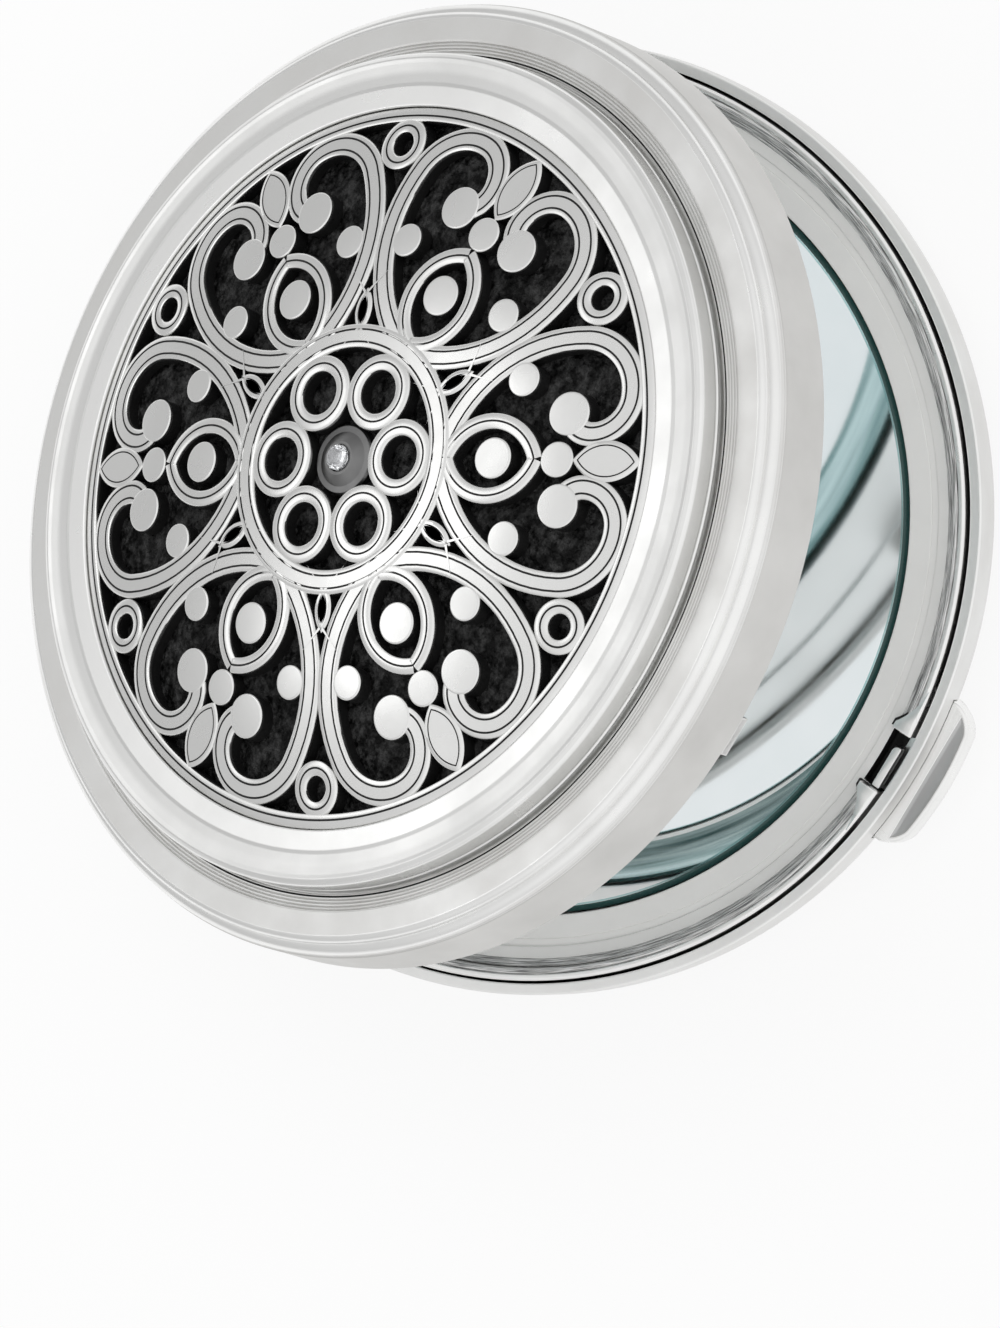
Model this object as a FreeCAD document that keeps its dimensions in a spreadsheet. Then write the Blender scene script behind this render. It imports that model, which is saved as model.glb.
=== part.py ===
# Round compact mirror: a pan with a mirror, a hinged lid with a second mirror and a medallion,
# and a thumb latch. The origin is the centre of the pan's underside, +Z is up, the latch is at -Y
# and the hinge at +Y. Lengths are millimetres, angles are degrees.
import FreeCAD
import Part
import math
import os
import Sketcher

Vector = FreeCAD.Vector
UP = Vector(0, 0, 1)
TINY = 1e-6

SIZES = {
    # pan and its collar
    "case_radius": 35.0,
    "parting_height": 6.5,
    "pan_wall": 0.65,
    "pan_corner_radius": 4.5,
    "groove_width": 0.45,
    "collar_width": 0.9,
    "collar_rise": 0.6,
    "collar_chamfer": 0.2,
    "collar_seam": 0.1,
    "fairing_depth": 0.7,
    "fairing_overhang": 0.5,
    "fairing_sweep": 3.3,
    "fairing_flare_radius": 4.75,
    # mirrors, their pads and trays
    "glass_inset": 6.0,
    "glass_thickness": 2.0,
    "glass_recess": 1.2,
    "glass_bevel": 0.3,
    "glass_play": 0.15,
    "lid_glass_hollow": 1.3,
    "pad_thickness": 0.3,
    "pad_inset": 1.0,
    "tray_wall": 0.6,
    "tray_seat": 0.6,
    "tray_flange": 0.7,
    "tray_lip": 0.2,
    "tray_step_share": 0.6,
    "tray_step_height": 0.25,
    "tray_slope_height": 0.35,
    "tray_play": 0.1,
    # lid
    "lid_gap": 0.15,
    "lid_wall": 0.6,
    "lid_wall_height": 4.4,
    "lid_corner_radius": 1.5,
    "lid_plate": 0.7,
    "lid_rest_angle": 19.6,
    # bezel and medallion
    "shoulder_width": 4.5,
    "bezel_width": 4.1,
    "bezel_rise": 2.45,
    "bezel_seat": 0.3,
    "bezel_seam": 0.1,
    "bezel_corner_radius": 0.45,
    "bezel_hollow": 0.22,
    "bezel_rim_width": 1.35,
    "medallion_play": 0.05,
    "ground_edge": 1.7,
    "dome_rise": 3.0,
    "scroll_thickness": 0.9,
    "scroll_seat": 0.02,
    # scrollwork, in plan
    "scroll_count": 6,
    "band_width": 1.8,
    "border_width": 1.1,
    "weld": 0.25,
    "heart_angle": 78.0,
    "side_bud_angle": 48.0,
    "side_bud_radius": 1.25,
    "volute_radius": 4.15,
    "volute_shrink_ratio": 0.68,
    "volute_last_angle": 75.0,
    "volute_eye_radius": 1.6,
    "bud_rise": 4.7,
    "bud_radius": 1.5,
    "palmette_share": 0.534,
    "palmette_width": 6.6,
    "palmette_band": 1.2,
    "bead_overlap": 0.05,
    "wedge_length": 3.6,
    "wedge_width": 1.5,
    "tip_leaf_share": 0.313,
    "tip_leaf_width": 3.0,
    "spandrel_radius": 1.45,
    "spandrel_band": 1.1,
    "petal_radius": 2.2,
    "petal_band": 1.25,
    # stone and its setting
    "setting_radius": 2.6,
    "setting_gap": 0.1,
    "setting_height": 0.75,
    "stone_radius": 0.95,
    "stone_girdle": 0.25,
    "stone_crown": 0.35,
    "stone_play": 0.03,
    "stone_depth": 0.45,
    # hinge
    "knuckle_radius": 1.1,
    "hinge_stand_off": 0.2,
    "hinge_drop": 1.5,
    "pin_radius": 0.5,
    "pin_play": 0.04,
    "pin_head_radius": 0.8,
    "pin_head_length": 0.4,
    "base_knuckle_length": 4.8,
    "lid_knuckle_length": 6.0,
    "knuckle_gap": 0.12,
    "knuckle_web": 1.5,
    "leaf_height": 3.2,
    "leaf_thickness": 0.9,
    "braze_gap": 0.02,
    # latch
    "tab_half_width": 5.8,
    "tab_reach": 2.2,
    "tab_flat": 4.2,
    "tab_height": 2.4,
    "tab_corner_radius": 2.6,
    "tab_crown": 0.35,
    "tab_edge_chamfer": 0.25,
    "tab_rim": 0.55,
    "tab_scoop": 0.4,
    "latch_play": 0.1,
    "latch_travel": 0.65,
    "latch_headroom": 0.2,
    "ear_half_width": 6.6,
    "ear_length": 0.8,
    "ear_height": 1.1,
    "bar_half_width": 3.0,
    "spring_room": 1.85,
    "slot_low": -2.4,
    "slot_high": 2.2,
    "tongue_high": 1.05,
    "tongue_top_drop": 0.15,
    "tongue_web": 0.25,
    "nose_length": 0.4,
    "nose_height": 0.6,
    "spring_span": 9.0,
    "spring_thickness": 0.25,
    "spring_height": 1.6,
    "spring_play": 0.05,
    "hook_overlap": 0.3,
    "hook_thickness": 0.3,
    "hook_nose_height": 0.65,
    "hook_play": 0.15,
    "hook_root": 2.5,
}

doc = FreeCAD.newDocument("compact_mirror")
sheet = doc.addObject("Spreadsheet::Sheet", "Sizes")
for row, (word, number) in enumerate(SIZES.items(), start=1):
    sheet.set(f"A{row}", word)
    sheet.set(f"B{row}", str(number))
    sheet.setAlias(f"B{row}", word)
doc.recompute()

# Heights and radii that several pieces share, as formulas of the sheet
FLOOR = "Sizes.pan_wall"
PARTING = "Sizes.parting_height"
PAN_INNER = "(Sizes.case_radius - Sizes.pan_wall)"
COLLAR_OUTER = f"({PAN_INNER} - Sizes.groove_width)"
COLLAR_INNER = f"({COLLAR_OUTER} - Sizes.collar_width)"
COLLAR_MIDDLE = f"({COLLAR_INNER} + Sizes.collar_width / 2)"
COLLAR_FOOT = "(Sizes.parting_height - Sizes.glass_recess)"
FAIRING = f"({COLLAR_INNER} - Sizes.fairing_depth)"
SLOT_INNER = f"({FAIRING} - Sizes.collar_seam)"
GLASS_RADIUS = "(Sizes.case_radius - Sizes.glass_inset)"
TRAY_OPENING = f"({GLASS_RADIUS} + Sizes.glass_play)"
TRAY_OUTSIDE = f"({TRAY_OPENING} + Sizes.tray_wall)"
GLASS_TOP = "(Sizes.parting_height - Sizes.glass_recess)"
GLASS_FOOT = f"({GLASS_TOP} - Sizes.glass_thickness)"
PAD_FOOT = f"({GLASS_FOOT} - Sizes.pad_thickness)"
FLANGE_FOOT = f"({GLASS_TOP} + Sizes.tray_lip - Sizes.tray_flange)"
LID_INNER = "(Sizes.case_radius - Sizes.lid_wall)"
LID_TOP = "(Sizes.lid_wall_height + Sizes.lid_corner_radius)"
LID_SEAT = f"({LID_TOP} - Sizes.bezel_seat)"
LID_CEILING = f"({LID_SEAT} - Sizes.lid_plate)"
LID_RIM = "(Sizes.parting_height + Sizes.lid_gap)"
BEZEL_RADIUS = "(Sizes.case_radius - Sizes.shoulder_width)"
MEDALLION_RADIUS = f"({BEZEL_RADIUS} - Sizes.bezel_width)"
BEZEL_TOP = f"({LID_TOP} + Sizes.bezel_rise)"
GROUND_EDGE = f"({LID_SEAT} + Sizes.ground_edge)"
GROUND_TOP = f"({GROUND_EDGE} + Sizes.dome_rise)"
PETAL_PLACE = "(Sizes.setting_radius + Sizes.setting_gap + Sizes.petal_band / 2 + Sizes.petal_radius)"
PETAL_TIP = f"({PETAL_PLACE} + Sizes.petal_radius + Sizes.petal_band / 2)"
INNER_RING = f"({PETAL_TIP} - Sizes.weld + Sizes.band_width / 2)"
HINGE_Y = "(Sizes.case_radius + Sizes.hinge_stand_off + Sizes.knuckle_radius)"
HINGE_Z = "(Sizes.parting_height - Sizes.hinge_drop)"
TAB_TOP = f"({FLANGE_FOOT} - Sizes.latch_headroom)"
TAB_FOOT = f"({TAB_TOP} - Sizes.tab_height)"
BAR_END = f"({TRAY_OUTSIDE} + Sizes.spring_room)"
TONGUE_INNER = f"({SLOT_INNER} + Sizes.latch_travel + Sizes.latch_play)"
TONGUE_TOP = "(Sizes.parting_height - Sizes.tongue_top_drop)"
NOSE_OUTER = f"({TONGUE_INNER} + Sizes.tongue_web + Sizes.nose_length)"
NOSE_FOOT = f"({TONGUE_TOP} - Sizes.nose_height)"


def value(formula):
    """The number that a formula of the sheet gives now."""
    return float(sheet.evalExpression(formula.replace("Sizes.", "")))


def new_body(label):
    body = doc.addObject("PartDesign::Body", label)
    body.Label = label
    return body


def new_sketch(body, name, role, offset="0"):
    """A sketch on one of the body's own origin planes, moved along the plane's normal."""
    sketch = body.newObject("Sketcher::SketchObject", name)
    plane = next(feature for feature in body.Origin.OriginFeatures if feature.Role == role)
    sketch.AttachmentSupport = [(plane, "")]
    sketch.MapMode = "FlatFace"
    sketch.AttachmentOffset = FreeCAD.Placement(Vector(0, 0, value(offset)), FreeCAD.Rotation())
    sketch.setExpression("AttachmentOffset.Base.z", offset)
    return sketch


def bind(sketch, kind, geometry, point, formula):
    """Pin one coordinate of a sketch point to a formula of the sheet."""
    index = sketch.addConstraint(Sketcher.Constraint(kind, geometry, point, value(formula)))
    sketch.setExpression(f"Constraints[{index}]", formula)


def bind_radius(sketch, geometry, formula):
    index = sketch.addConstraint(Sketcher.Constraint("Radius", geometry, value(formula)))
    sketch.setExpression(f"Constraints[{index}]", formula)


def arc_between(start, end, radius, turn):
    """The lesser arc from start to end; turn is +1 for counterclockwise and -1 for clockwise."""
    chord = end - start
    middle = (start + end) * 0.5
    height = math.sqrt(max(radius ** 2 - (chord.Length / 2) ** 2, 0.0))
    left = Vector(-chord.y, chord.x, 0).normalize()
    centre = middle + left * (height * turn)
    first, last = (start, end) if turn > 0 else (end, start)
    begin = math.atan2(first.y - centre.y, first.x - centre.x)
    finish = math.atan2(last.y - centre.y, last.x - centre.x)
    return Part.ArcOfCircle(Part.Circle(centre, UP, radius), begin, finish)


def draw_outline(sketch, corners, arcs=None):
    """A closed outline. arcs maps a side's number to (radius formula, turn); other sides are straight."""
    arcs = arcs or {}
    places = [Vector(value(x), value(y), 0) for x, y in corners]
    ends = []
    for side, start in enumerate(places):
        end = places[(side + 1) % len(places)]
        if side in arcs:
            radius, turn = arcs[side]
            geometry = sketch.addGeometry(arc_between(start, end, value(radius), turn), False)
            ends.append((geometry, 1, 2) if turn > 0 else (geometry, 2, 1))
        else:
            geometry = sketch.addGeometry(Part.LineSegment(start, end), False)
            ends.append((geometry, 1, 2))
    for side, (geometry, first, last) in enumerate(ends):
        following, following_first, _ = ends[(side + 1) % len(ends)]
        sketch.addConstraint(Sketcher.Constraint("Coincident", geometry, last, following, following_first))
        bind(sketch, "DistanceX", geometry, first, corners[side][0])
        bind(sketch, "DistanceY", geometry, first, corners[side][1])
        if side in arcs:
            bind_radius(sketch, geometry, arcs[side][0])


def draw_circle(sketch, x, y, radius):
    circle = Part.Circle(Vector(value(x), value(y), 0), UP, value(radius))
    geometry = sketch.addGeometry(circle, False)
    bind(sketch, "DistanceX", geometry, 3, x)
    bind(sketch, "DistanceY", geometry, 3, y)
    bind_radius(sketch, geometry, radius)


def turn_profile(body, name, corners, arcs=None):
    """Turn an outline of (radius, height) corners about the body's Z axis."""
    sketch = new_sketch(body, name + "_section", "XZ_Plane")
    draw_outline(sketch, corners, arcs)
    doc.recompute()
    turned = body.newObject("PartDesign::Revolution", name)
    turned.Profile = sketch
    turned.ReferenceAxis = (sketch, ["V_Axis"])
    turned.Angle = 360
    doc.recompute()


def pad(body, sketch, name, length):
    feature = body.newObject("PartDesign::Pad", name)
    feature.Profile = sketch
    feature.Length = value(length)
    feature.setExpression("Length", length)
    doc.recompute()
    return feature


def cut_through(body, sketch, name, backwards=False):
    """Cut a sketch through everything on one side of its plane, and make sure that it cut something."""
    doc.recompute()
    before = body.Shape.Volume
    feature = body.newObject("PartDesign::Pocket", name)
    feature.Profile = sketch
    feature.Type = "ThroughAll"
    feature.Reversed = backwards
    doc.recompute()
    assert body.Shape.Volume < before - TINY, f"{name} cuts nothing"


def raise_outline(body, name, corners, foot, height, arcs=None):
    """Pad a plan outline upwards from a height."""
    sketch = new_sketch(body, name + "_plan", "XY_Plane", foot)
    draw_outline(sketch, corners, arcs)
    return pad(body, sketch, name, height)


def cut_plan_upwards(body, name, corners, foot, arcs=None):
    """Cut a plan outline through everything above a height."""
    sketch = new_sketch(body, name + "_plan", "XY_Plane", foot)
    draw_outline(sketch, corners, arcs)
    cut_through(body, sketch, name, backwards=True)


def rectangle(low_x, low_y, high_x, high_y):
    return [(low_x, low_y), (high_x, low_y), (high_x, high_y), (low_x, high_y)]


def place_on_lid(piece):
    """Lid pieces are drawn from the lid's rim plane, then swung open about the hinge axis."""
    swing = "(Sizes.lid_rest_angle * 1 deg)"
    lift = f"({LID_RIM} - {HINGE_Z})"
    piece.Placement = FreeCAD.Placement(Vector(), FreeCAD.Rotation(Vector(-1, 0, 0), 1))
    piece.setExpression("Placement.Base.y", f"{HINGE_Y} - {HINGE_Y} * cos({swing}) + {lift} * sin({swing})")
    piece.setExpression("Placement.Base.z", f"{HINGE_Z} + {HINGE_Y} * sin({swing}) + {lift} * cos({swing})")
    piece.setExpression("Placement.Rotation.Angle", "Sizes.lid_rest_angle")


def catch_slot():
    """Plan of the slot for the catch, from its inner edge out through the wall."""
    return rectangle("Sizes.slot_low", "-Sizes.case_radius", "Sizes.slot_high", f"-{SLOT_INNER}")


def fairing_ends(grow):
    """Roots at the slot and tips in the collar of the fairing's two flared sides, right then left."""
    ends = []
    for sign, edge in (("", "Sizes.slot_high"), ("-", "-Sizes.slot_low")):
        root = f"({edge} + Sizes.fairing_overhang + {grow})"
        tip = f"({root} + Sizes.fairing_sweep)"
        ends.append((f"{sign}{root}", f"({grow} - {FAIRING})"))
        ends.append((f"{sign}{tip}", f"-sqrt({COLLAR_MIDDLE} ^ 2 - {tip} ^ 2)"))
    right_root, right_tip, left_root, left_tip = ends
    return right_root, right_tip, left_tip, left_root


def tray_step_radius(outside):
    """The step in a mirror's frame lies part of the way from the glass to the frame's outside."""
    return f"({TRAY_OPENING} + Sizes.tray_step_share * ({outside} - {TRAY_OPENING}))"


def make_base_pan():
    body = new_body("base_pan")
    inner_corner = "(Sizes.pan_corner_radius - Sizes.pan_wall)"
    flat = "(Sizes.case_radius - Sizes.pan_corner_radius)"
    corners = [
        ("0", "0"),
        (flat, "0"),
        ("Sizes.case_radius", "Sizes.pan_corner_radius"),
        ("Sizes.case_radius", PARTING),
        (PAN_INNER, PARTING),
        (PAN_INNER, "Sizes.pan_corner_radius"),
        (flat, FLOOR),
        ("0", FLOOR),
    ]
    turn_profile(body, "pan", corners, {1: ("Sizes.pan_corner_radius", 1), 5: (inner_corner, -1)})
    window = new_sketch(body, "latch_window_face", "XZ_Plane")
    half = "(Sizes.tab_half_width + Sizes.latch_play)"
    low, high = f"({TAB_FOOT} - Sizes.latch_play)", f"({TAB_TOP} + Sizes.latch_play)"
    draw_outline(window, rectangle(f"-{half}", low, half, high))
    cut_through(body, window, "latch_window", backwards=True)
    return body


def make_base_collar():
    body = new_body("base_collar")
    top = f"({PARTING} + Sizes.collar_rise)"
    corners = [
        (COLLAR_INNER, COLLAR_FOOT),
        (COLLAR_OUTER, COLLAR_FOOT),
        (COLLAR_OUTER, f"({top} - Sizes.collar_chamfer)"),
        (f"({COLLAR_OUTER} - Sizes.collar_chamfer)", top),
        (f"({COLLAR_INNER} + Sizes.collar_chamfer)", top),
        (COLLAR_INNER, f"({top} - Sizes.collar_chamfer)"),
    ]
    turn_profile(body, "ring", corners)
    flare = "Sizes.fairing_flare_radius", 1
    sides = {0: flare, 1: (COLLAR_MIDDLE, -1), 2: flare}
    raise_outline(body, "fairing", fairing_ends("0"), COLLAR_FOOT, "Sizes.glass_recess", sides)
    cut_plan_upwards(body, "catch_slot", catch_slot(), COLLAR_FOOT)
    return body


def make_base_tray():
    body = new_body("base_tray")
    shelf = f"({COLLAR_INNER} - Sizes.collar_seam)"
    lip = f"({GLASS_TOP} + Sizes.tray_lip)"
    corners = [
        ("0", f"({PAD_FOOT} - Sizes.tray_seat)"),
        (TRAY_OPENING, f"({PAD_FOOT} - Sizes.tray_seat)"),
        (TRAY_OPENING, FLOOR),
        (TRAY_OUTSIDE, FLOOR),
        (TRAY_OUTSIDE, FLANGE_FOOT),
        (COLLAR_OUTER, FLANGE_FOOT),
        (COLLAR_OUTER, COLLAR_FOOT),
        (shelf, COLLAR_FOOT),
        (shelf, f"({lip} + Sizes.tray_step_height + Sizes.tray_slope_height)"),
        (tray_step_radius(shelf), f"({lip} + Sizes.tray_step_height)"),
        (tray_step_radius(shelf), lip),
        (TRAY_OPENING, lip),
        (TRAY_OPENING, PAD_FOOT),
        ("0", PAD_FOOT),
    ]
    turn_profile(body, "hat", corners)
    right_root, right_tip, left_tip, left_root = fairing_ends("Sizes.collar_seam")
    outside = [(tip[0], "-Sizes.case_radius") for tip in (right_tip, left_tip)]
    recess = [right_root, right_tip, *outside, left_tip, left_root]
    flare = "(Sizes.fairing_flare_radius - Sizes.collar_seam)", 1
    cut_plan_upwards(body, "fairing_recess", recess, COLLAR_FOOT, {0: flare, recess.index(left_tip): flare})
    cut_plan_upwards(body, "catch_slot", catch_slot(), FLOOR)
    return body


def make_base_mirror():
    body = new_body("base_mirror")
    corners = [
        ("0", GLASS_FOOT),
        (GLASS_RADIUS, GLASS_FOOT),
        (GLASS_RADIUS, f"({GLASS_TOP} - Sizes.glass_bevel)"),
        (f"({GLASS_RADIUS} - Sizes.glass_bevel)", GLASS_TOP),
        ("0", GLASS_TOP),
    ]
    turn_profile(body, "glass", corners)
    return body


def make_pad(label, foot):
    body = new_body(label)
    radius = f"({GLASS_RADIUS} - Sizes.pad_inset)"
    disc = new_sketch(body, "disc", "XY_Plane", foot)
    draw_circle(disc, "0", "0", radius)
    pad(body, disc, "foam", "Sizes.pad_thickness")
    return body


def make_lid_shell():
    body = new_body("lid_shell")
    seat_radius = f"({BEZEL_RADIUS} + Sizes.bezel_seam)"
    flat = "(Sizes.case_radius - Sizes.lid_corner_radius)"
    shoulder_foot = f"({LID_TOP} - Sizes.lid_wall)"
    corners = [
        (LID_INNER, "0"),
        ("Sizes.case_radius", "0"),
        ("Sizes.case_radius", "Sizes.lid_wall_height"),
        (flat, LID_TOP),
        (seat_radius, LID_TOP),
        (seat_radius, LID_SEAT),
        ("0", LID_SEAT),
        ("0", LID_CEILING),
        (f"({seat_radius} + Sizes.lid_wall)", LID_CEILING),
        (f"({seat_radius} + Sizes.lid_wall)", shoulder_foot),
        (flat, shoulder_foot),
        (LID_INNER, "Sizes.lid_wall_height"),
    ]
    inner_corner = "(Sizes.lid_corner_radius - Sizes.lid_wall)"
    turn_profile(body, "cup", corners, {2: ("Sizes.lid_corner_radius", 1), 10: (inner_corner, -1)})
    return body


def make_bezel_ring():
    body = new_body("bezel_ring")
    opening = f"({MEDALLION_RADIUS} + Sizes.medallion_play)"
    crest = f"({BEZEL_RADIUS} - Sizes.bezel_corner_radius)"
    rim = f"({opening} + Sizes.bezel_rim_width)"
    half_band = f"(({crest} - {rim}) / 2)"
    hollow = f"(({half_band} ^ 2 + Sizes.bezel_hollow ^ 2) / (2 * Sizes.bezel_hollow))"
    corners = [
        (opening, LID_SEAT),
        (BEZEL_RADIUS, LID_SEAT),
        (BEZEL_RADIUS, f"({BEZEL_TOP} - Sizes.bezel_corner_radius)"),
        (crest, BEZEL_TOP),
        (rim, BEZEL_TOP),
        (opening, BEZEL_TOP),
    ]
    turn_profile(body, "moulding", corners, {2: ("Sizes.bezel_corner_radius", 1), 3: (hollow, -1)})
    return body


def dome_radius():
    return f"(({MEDALLION_RADIUS} ^ 2 + Sizes.dome_rise ^ 2) / (2 * Sizes.dome_rise))"


def make_medallion_ground():
    body = new_body("medallion_ground")
    corners = [
        ("0", LID_SEAT),
        (MEDALLION_RADIUS, LID_SEAT),
        (MEDALLION_RADIUS, GROUND_EDGE),
        ("0", GROUND_TOP),
    ]
    turn_profile(body, "dome", corners, {2: (dome_radius(), 1)})
    return body


def flat_face(edges):
    return Part.Face(Part.Wire(Part.__sortEdges__(edges)))


def disc_face(centre, radius):
    return flat_face([Part.Circle(centre, UP, radius).toShape()])


def ring_face(centre, radius, width):
    return disc_face(centre, radius + width / 2).cut(disc_face(centre, radius - width / 2))


def leaf_face(root, tip, width):
    """A pointed leaf of two arcs on the X axis."""
    middle = (root + tip) / 2
    ends = Vector(root, 0, 0), Vector(tip, 0, 0)
    sides = [Part.Arc(ends[0], Vector(middle, side * width / 2, 0), ends[1]).toShape() for side in (1, -1)]
    return flat_face(sides)


def palmette_face(root, tip, width, band):
    """The outline of a leaf, as a band."""
    return leaf_face(root, tip, width).cut(leaf_face(root + band, tip - band, width - 2 * band))


def band_arc(place, heading, radius, turn, width):
    """A band along an arc to the right; gives its face, and where it ends and heads."""
    to_right = Vector(math.sin(heading), -math.cos(heading), 0)
    centre = place + to_right * radius

    def spoke(angle, distance):
        return centre + Vector(math.cos(angle), math.sin(angle), 0) * distance

    begin = heading + math.pi / 2
    angles = begin, begin - turn / 2, begin - turn
    outside, inside = radius + width / 2, radius - width / 2
    edges = [
        Part.Arc(*[spoke(angle, outside) for angle in angles]).toShape(),
        Part.Arc(*[spoke(angle, inside) for angle in angles]).toShape(),
        Part.LineSegment(spoke(angles[0], inside), spoke(angles[0], outside)).toShape(),
        Part.LineSegment(spoke(angles[2], inside), spoke(angles[2], outside)).toShape(),
    ]
    return flat_face(edges), spoke(angles[2], radius), heading - turn


def heart_side_radius():
    """The long arc's radius that carries the volute's back just into the border ring."""
    ring, volute = value(INNER_RING), value("Sizes.volute_radius")
    rise = math.radians(value("Sizes.heart_angle"))
    reach = value(f"{MEDALLION_RADIUS} - Sizes.border_width + Sizes.weld - Sizes.band_width / 2") - volute
    along, across = math.sin(rise), 1 - math.cos(rise)
    square = along ** 2 + across ** 2
    half_linear = along * ring - across * volute
    constant = ring ** 2 + volute ** 2 - reach ** 2
    return (math.sqrt(half_linear ** 2 - square * constant) - half_linear) / square


def heart_half():
    """One side of a heart: a long arc with a bud inside it, then a volute that closes on a round eye."""
    width = value("Sizes.band_width")
    place = Vector(value(INNER_RING), 0, 0)
    heading = math.radians(value("Sizes.heart_angle"))
    radius = value("Sizes.volute_radius")
    side = heart_side_radius()
    turns = [(side, heading)]
    bud = value("Sizes.side_bud_radius")
    spoke = heading + math.pi / 2 - math.radians(value("Sizes.side_bud_angle"))
    centre = place + Vector(math.sin(heading), -math.cos(heading), 0) * side
    bud_reach = side - width / 2 + value("Sizes.weld") - bud
    bud_place = centre + Vector(math.cos(spoke), math.sin(spoke), 0) * bud_reach
    for _ in range(2):
        turns.append((radius, math.pi / 2))
        radius *= value("Sizes.volute_shrink_ratio")
    turns.append((radius, math.radians(value("Sizes.volute_last_angle"))))
    faces = [disc_face(bud_place, bud)]
    for arc_radius, turn in turns:
        face, place, heading = band_arc(place, heading, arc_radius, turn, width)
        faces.append(face)
    faces.append(disc_face(place, value("Sizes.volute_eye_radius")))
    return faces


def scroll_sector():
    """Everything that repeats round the medallion, drawn about the X axis."""
    faces = heart_half()
    faces += [face.mirror(Vector(), Vector(0, 1, 0)) for face in faces]
    ring = value(INNER_RING)
    band = value("Sizes.band_width")
    weld = value("Sizes.weld")
    bud = Vector(ring + value("Sizes.bud_rise"), 0, 0)
    faces.append(disc_face(bud, value("Sizes.bud_radius")))
    faces.append(leaf_face(ring, bud.x, band))
    palmette = value("Sizes.palmette_width"), value("Sizes.palmette_band")
    border = value(f"{MEDALLION_RADIUS} - Sizes.border_width")
    palmette_tip = ring + value("Sizes.palmette_share") * (border - ring)
    faces.append(palmette_face(ring, palmette_tip, *palmette))
    tip_leaf_root = border - value("Sizes.tip_leaf_share") * (border - ring)
    bead = (tip_leaf_root - palmette_tip) / 2
    faces.append(disc_face(Vector(palmette_tip + bead, 0, 0), bead + value("Sizes.bead_overlap")))
    faces.append(leaf_face(tip_leaf_root, border + weld, value("Sizes.tip_leaf_width")))
    half_sector = 180 / value("Sizes.scroll_count")
    spandrel = value("Sizes.spandrel_radius"), value("Sizes.spandrel_band")
    between_hearts = [
        ring_face(Vector(border + weld - spandrel[0] - spandrel[1] / 2, 0, 0), *spandrel),
        leaf_face(ring, ring + value("Sizes.wedge_length"), value("Sizes.wedge_width")),
    ]
    for face in between_hearts:
        face.rotate(Vector(), UP, half_sector)
    faces += between_hearts
    petal = value("Sizes.petal_radius"), value("Sizes.petal_band")
    faces.append(ring_face(Vector(value(PETAL_PLACE), 0, 0), *petal))
    return faces


def make_scrollwork():
    """Flat openwork pattern raised to a prism and kept only inside a thin spherical shell."""
    repeats = int(value("Sizes.scroll_count"))
    faces = []
    for face in scroll_sector():
        for repeat in range(repeats):
            turned = face.copy()
            turned.rotate(Vector(), UP, 360 * repeat / repeats)
            faces.append(turned)
    border = value(f"{MEDALLION_RADIUS} - Sizes.border_width / 2")
    faces.append(ring_face(Vector(), border, value("Sizes.border_width")))
    faces.append(ring_face(Vector(), value(INNER_RING), value("Sizes.band_width")))
    foot = value(LID_SEAT)
    height = value(f"{GROUND_TOP} - {LID_SEAT} + 2 * Sizes.scroll_thickness")
    prisms = [face.extrude(UP * height) for face in faces]
    prism = prisms[0].fuse(prisms[1:]).removeSplitter()
    prism.translate(UP * foot)
    inside = value(f"{dome_radius()} + Sizes.scroll_seat")
    centre = Vector(0, 0, value(f"{GROUND_TOP} - {dome_radius()}"))
    shell = Part.makeSphere(inside + value("Sizes.scroll_thickness"), centre)
    shell = shell.cut(Part.makeSphere(inside, centre))
    piece = doc.addObject("Part::Feature", "medallion_scrollwork")
    piece.Shape = prism.common(shell)
    return piece


def make_stone_setting():
    body = new_body("stone_setting")
    foot = f"({GROUND_TOP} + Sizes.scroll_seat)"
    top = f"({foot} + Sizes.setting_height)"
    bore = "(Sizes.stone_radius + Sizes.stone_play)"
    corners = [
        ("0", foot),
        ("Sizes.setting_radius", foot),
        (f"({bore} + Sizes.stone_girdle)", top),
        (bore, top),
        (bore, f"({top} - Sizes.stone_depth)"),
        ("0", f"({top} - Sizes.stone_depth)"),
    ]
    turn_profile(body, "cup", corners)
    return body


def make_centre_stone():
    body = new_body("centre_stone")
    foot = f"({GROUND_TOP} + Sizes.scroll_seat + Sizes.setting_height - Sizes.stone_depth)"
    girdle = f"({foot} + Sizes.stone_depth)"
    corners = [
        ("0", foot),
        ("(Sizes.stone_radius / 2)", foot),
        ("Sizes.stone_radius", girdle),
        ("Sizes.stone_radius", f"({girdle} + Sizes.stone_girdle)"),
        ("(Sizes.stone_radius / 2)", f"({girdle} + Sizes.stone_girdle + Sizes.stone_crown)"),
        ("0", f"({girdle} + Sizes.stone_girdle + Sizes.stone_crown)"),
    ]
    turn_profile(body, "stone", corners)
    return body


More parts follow.
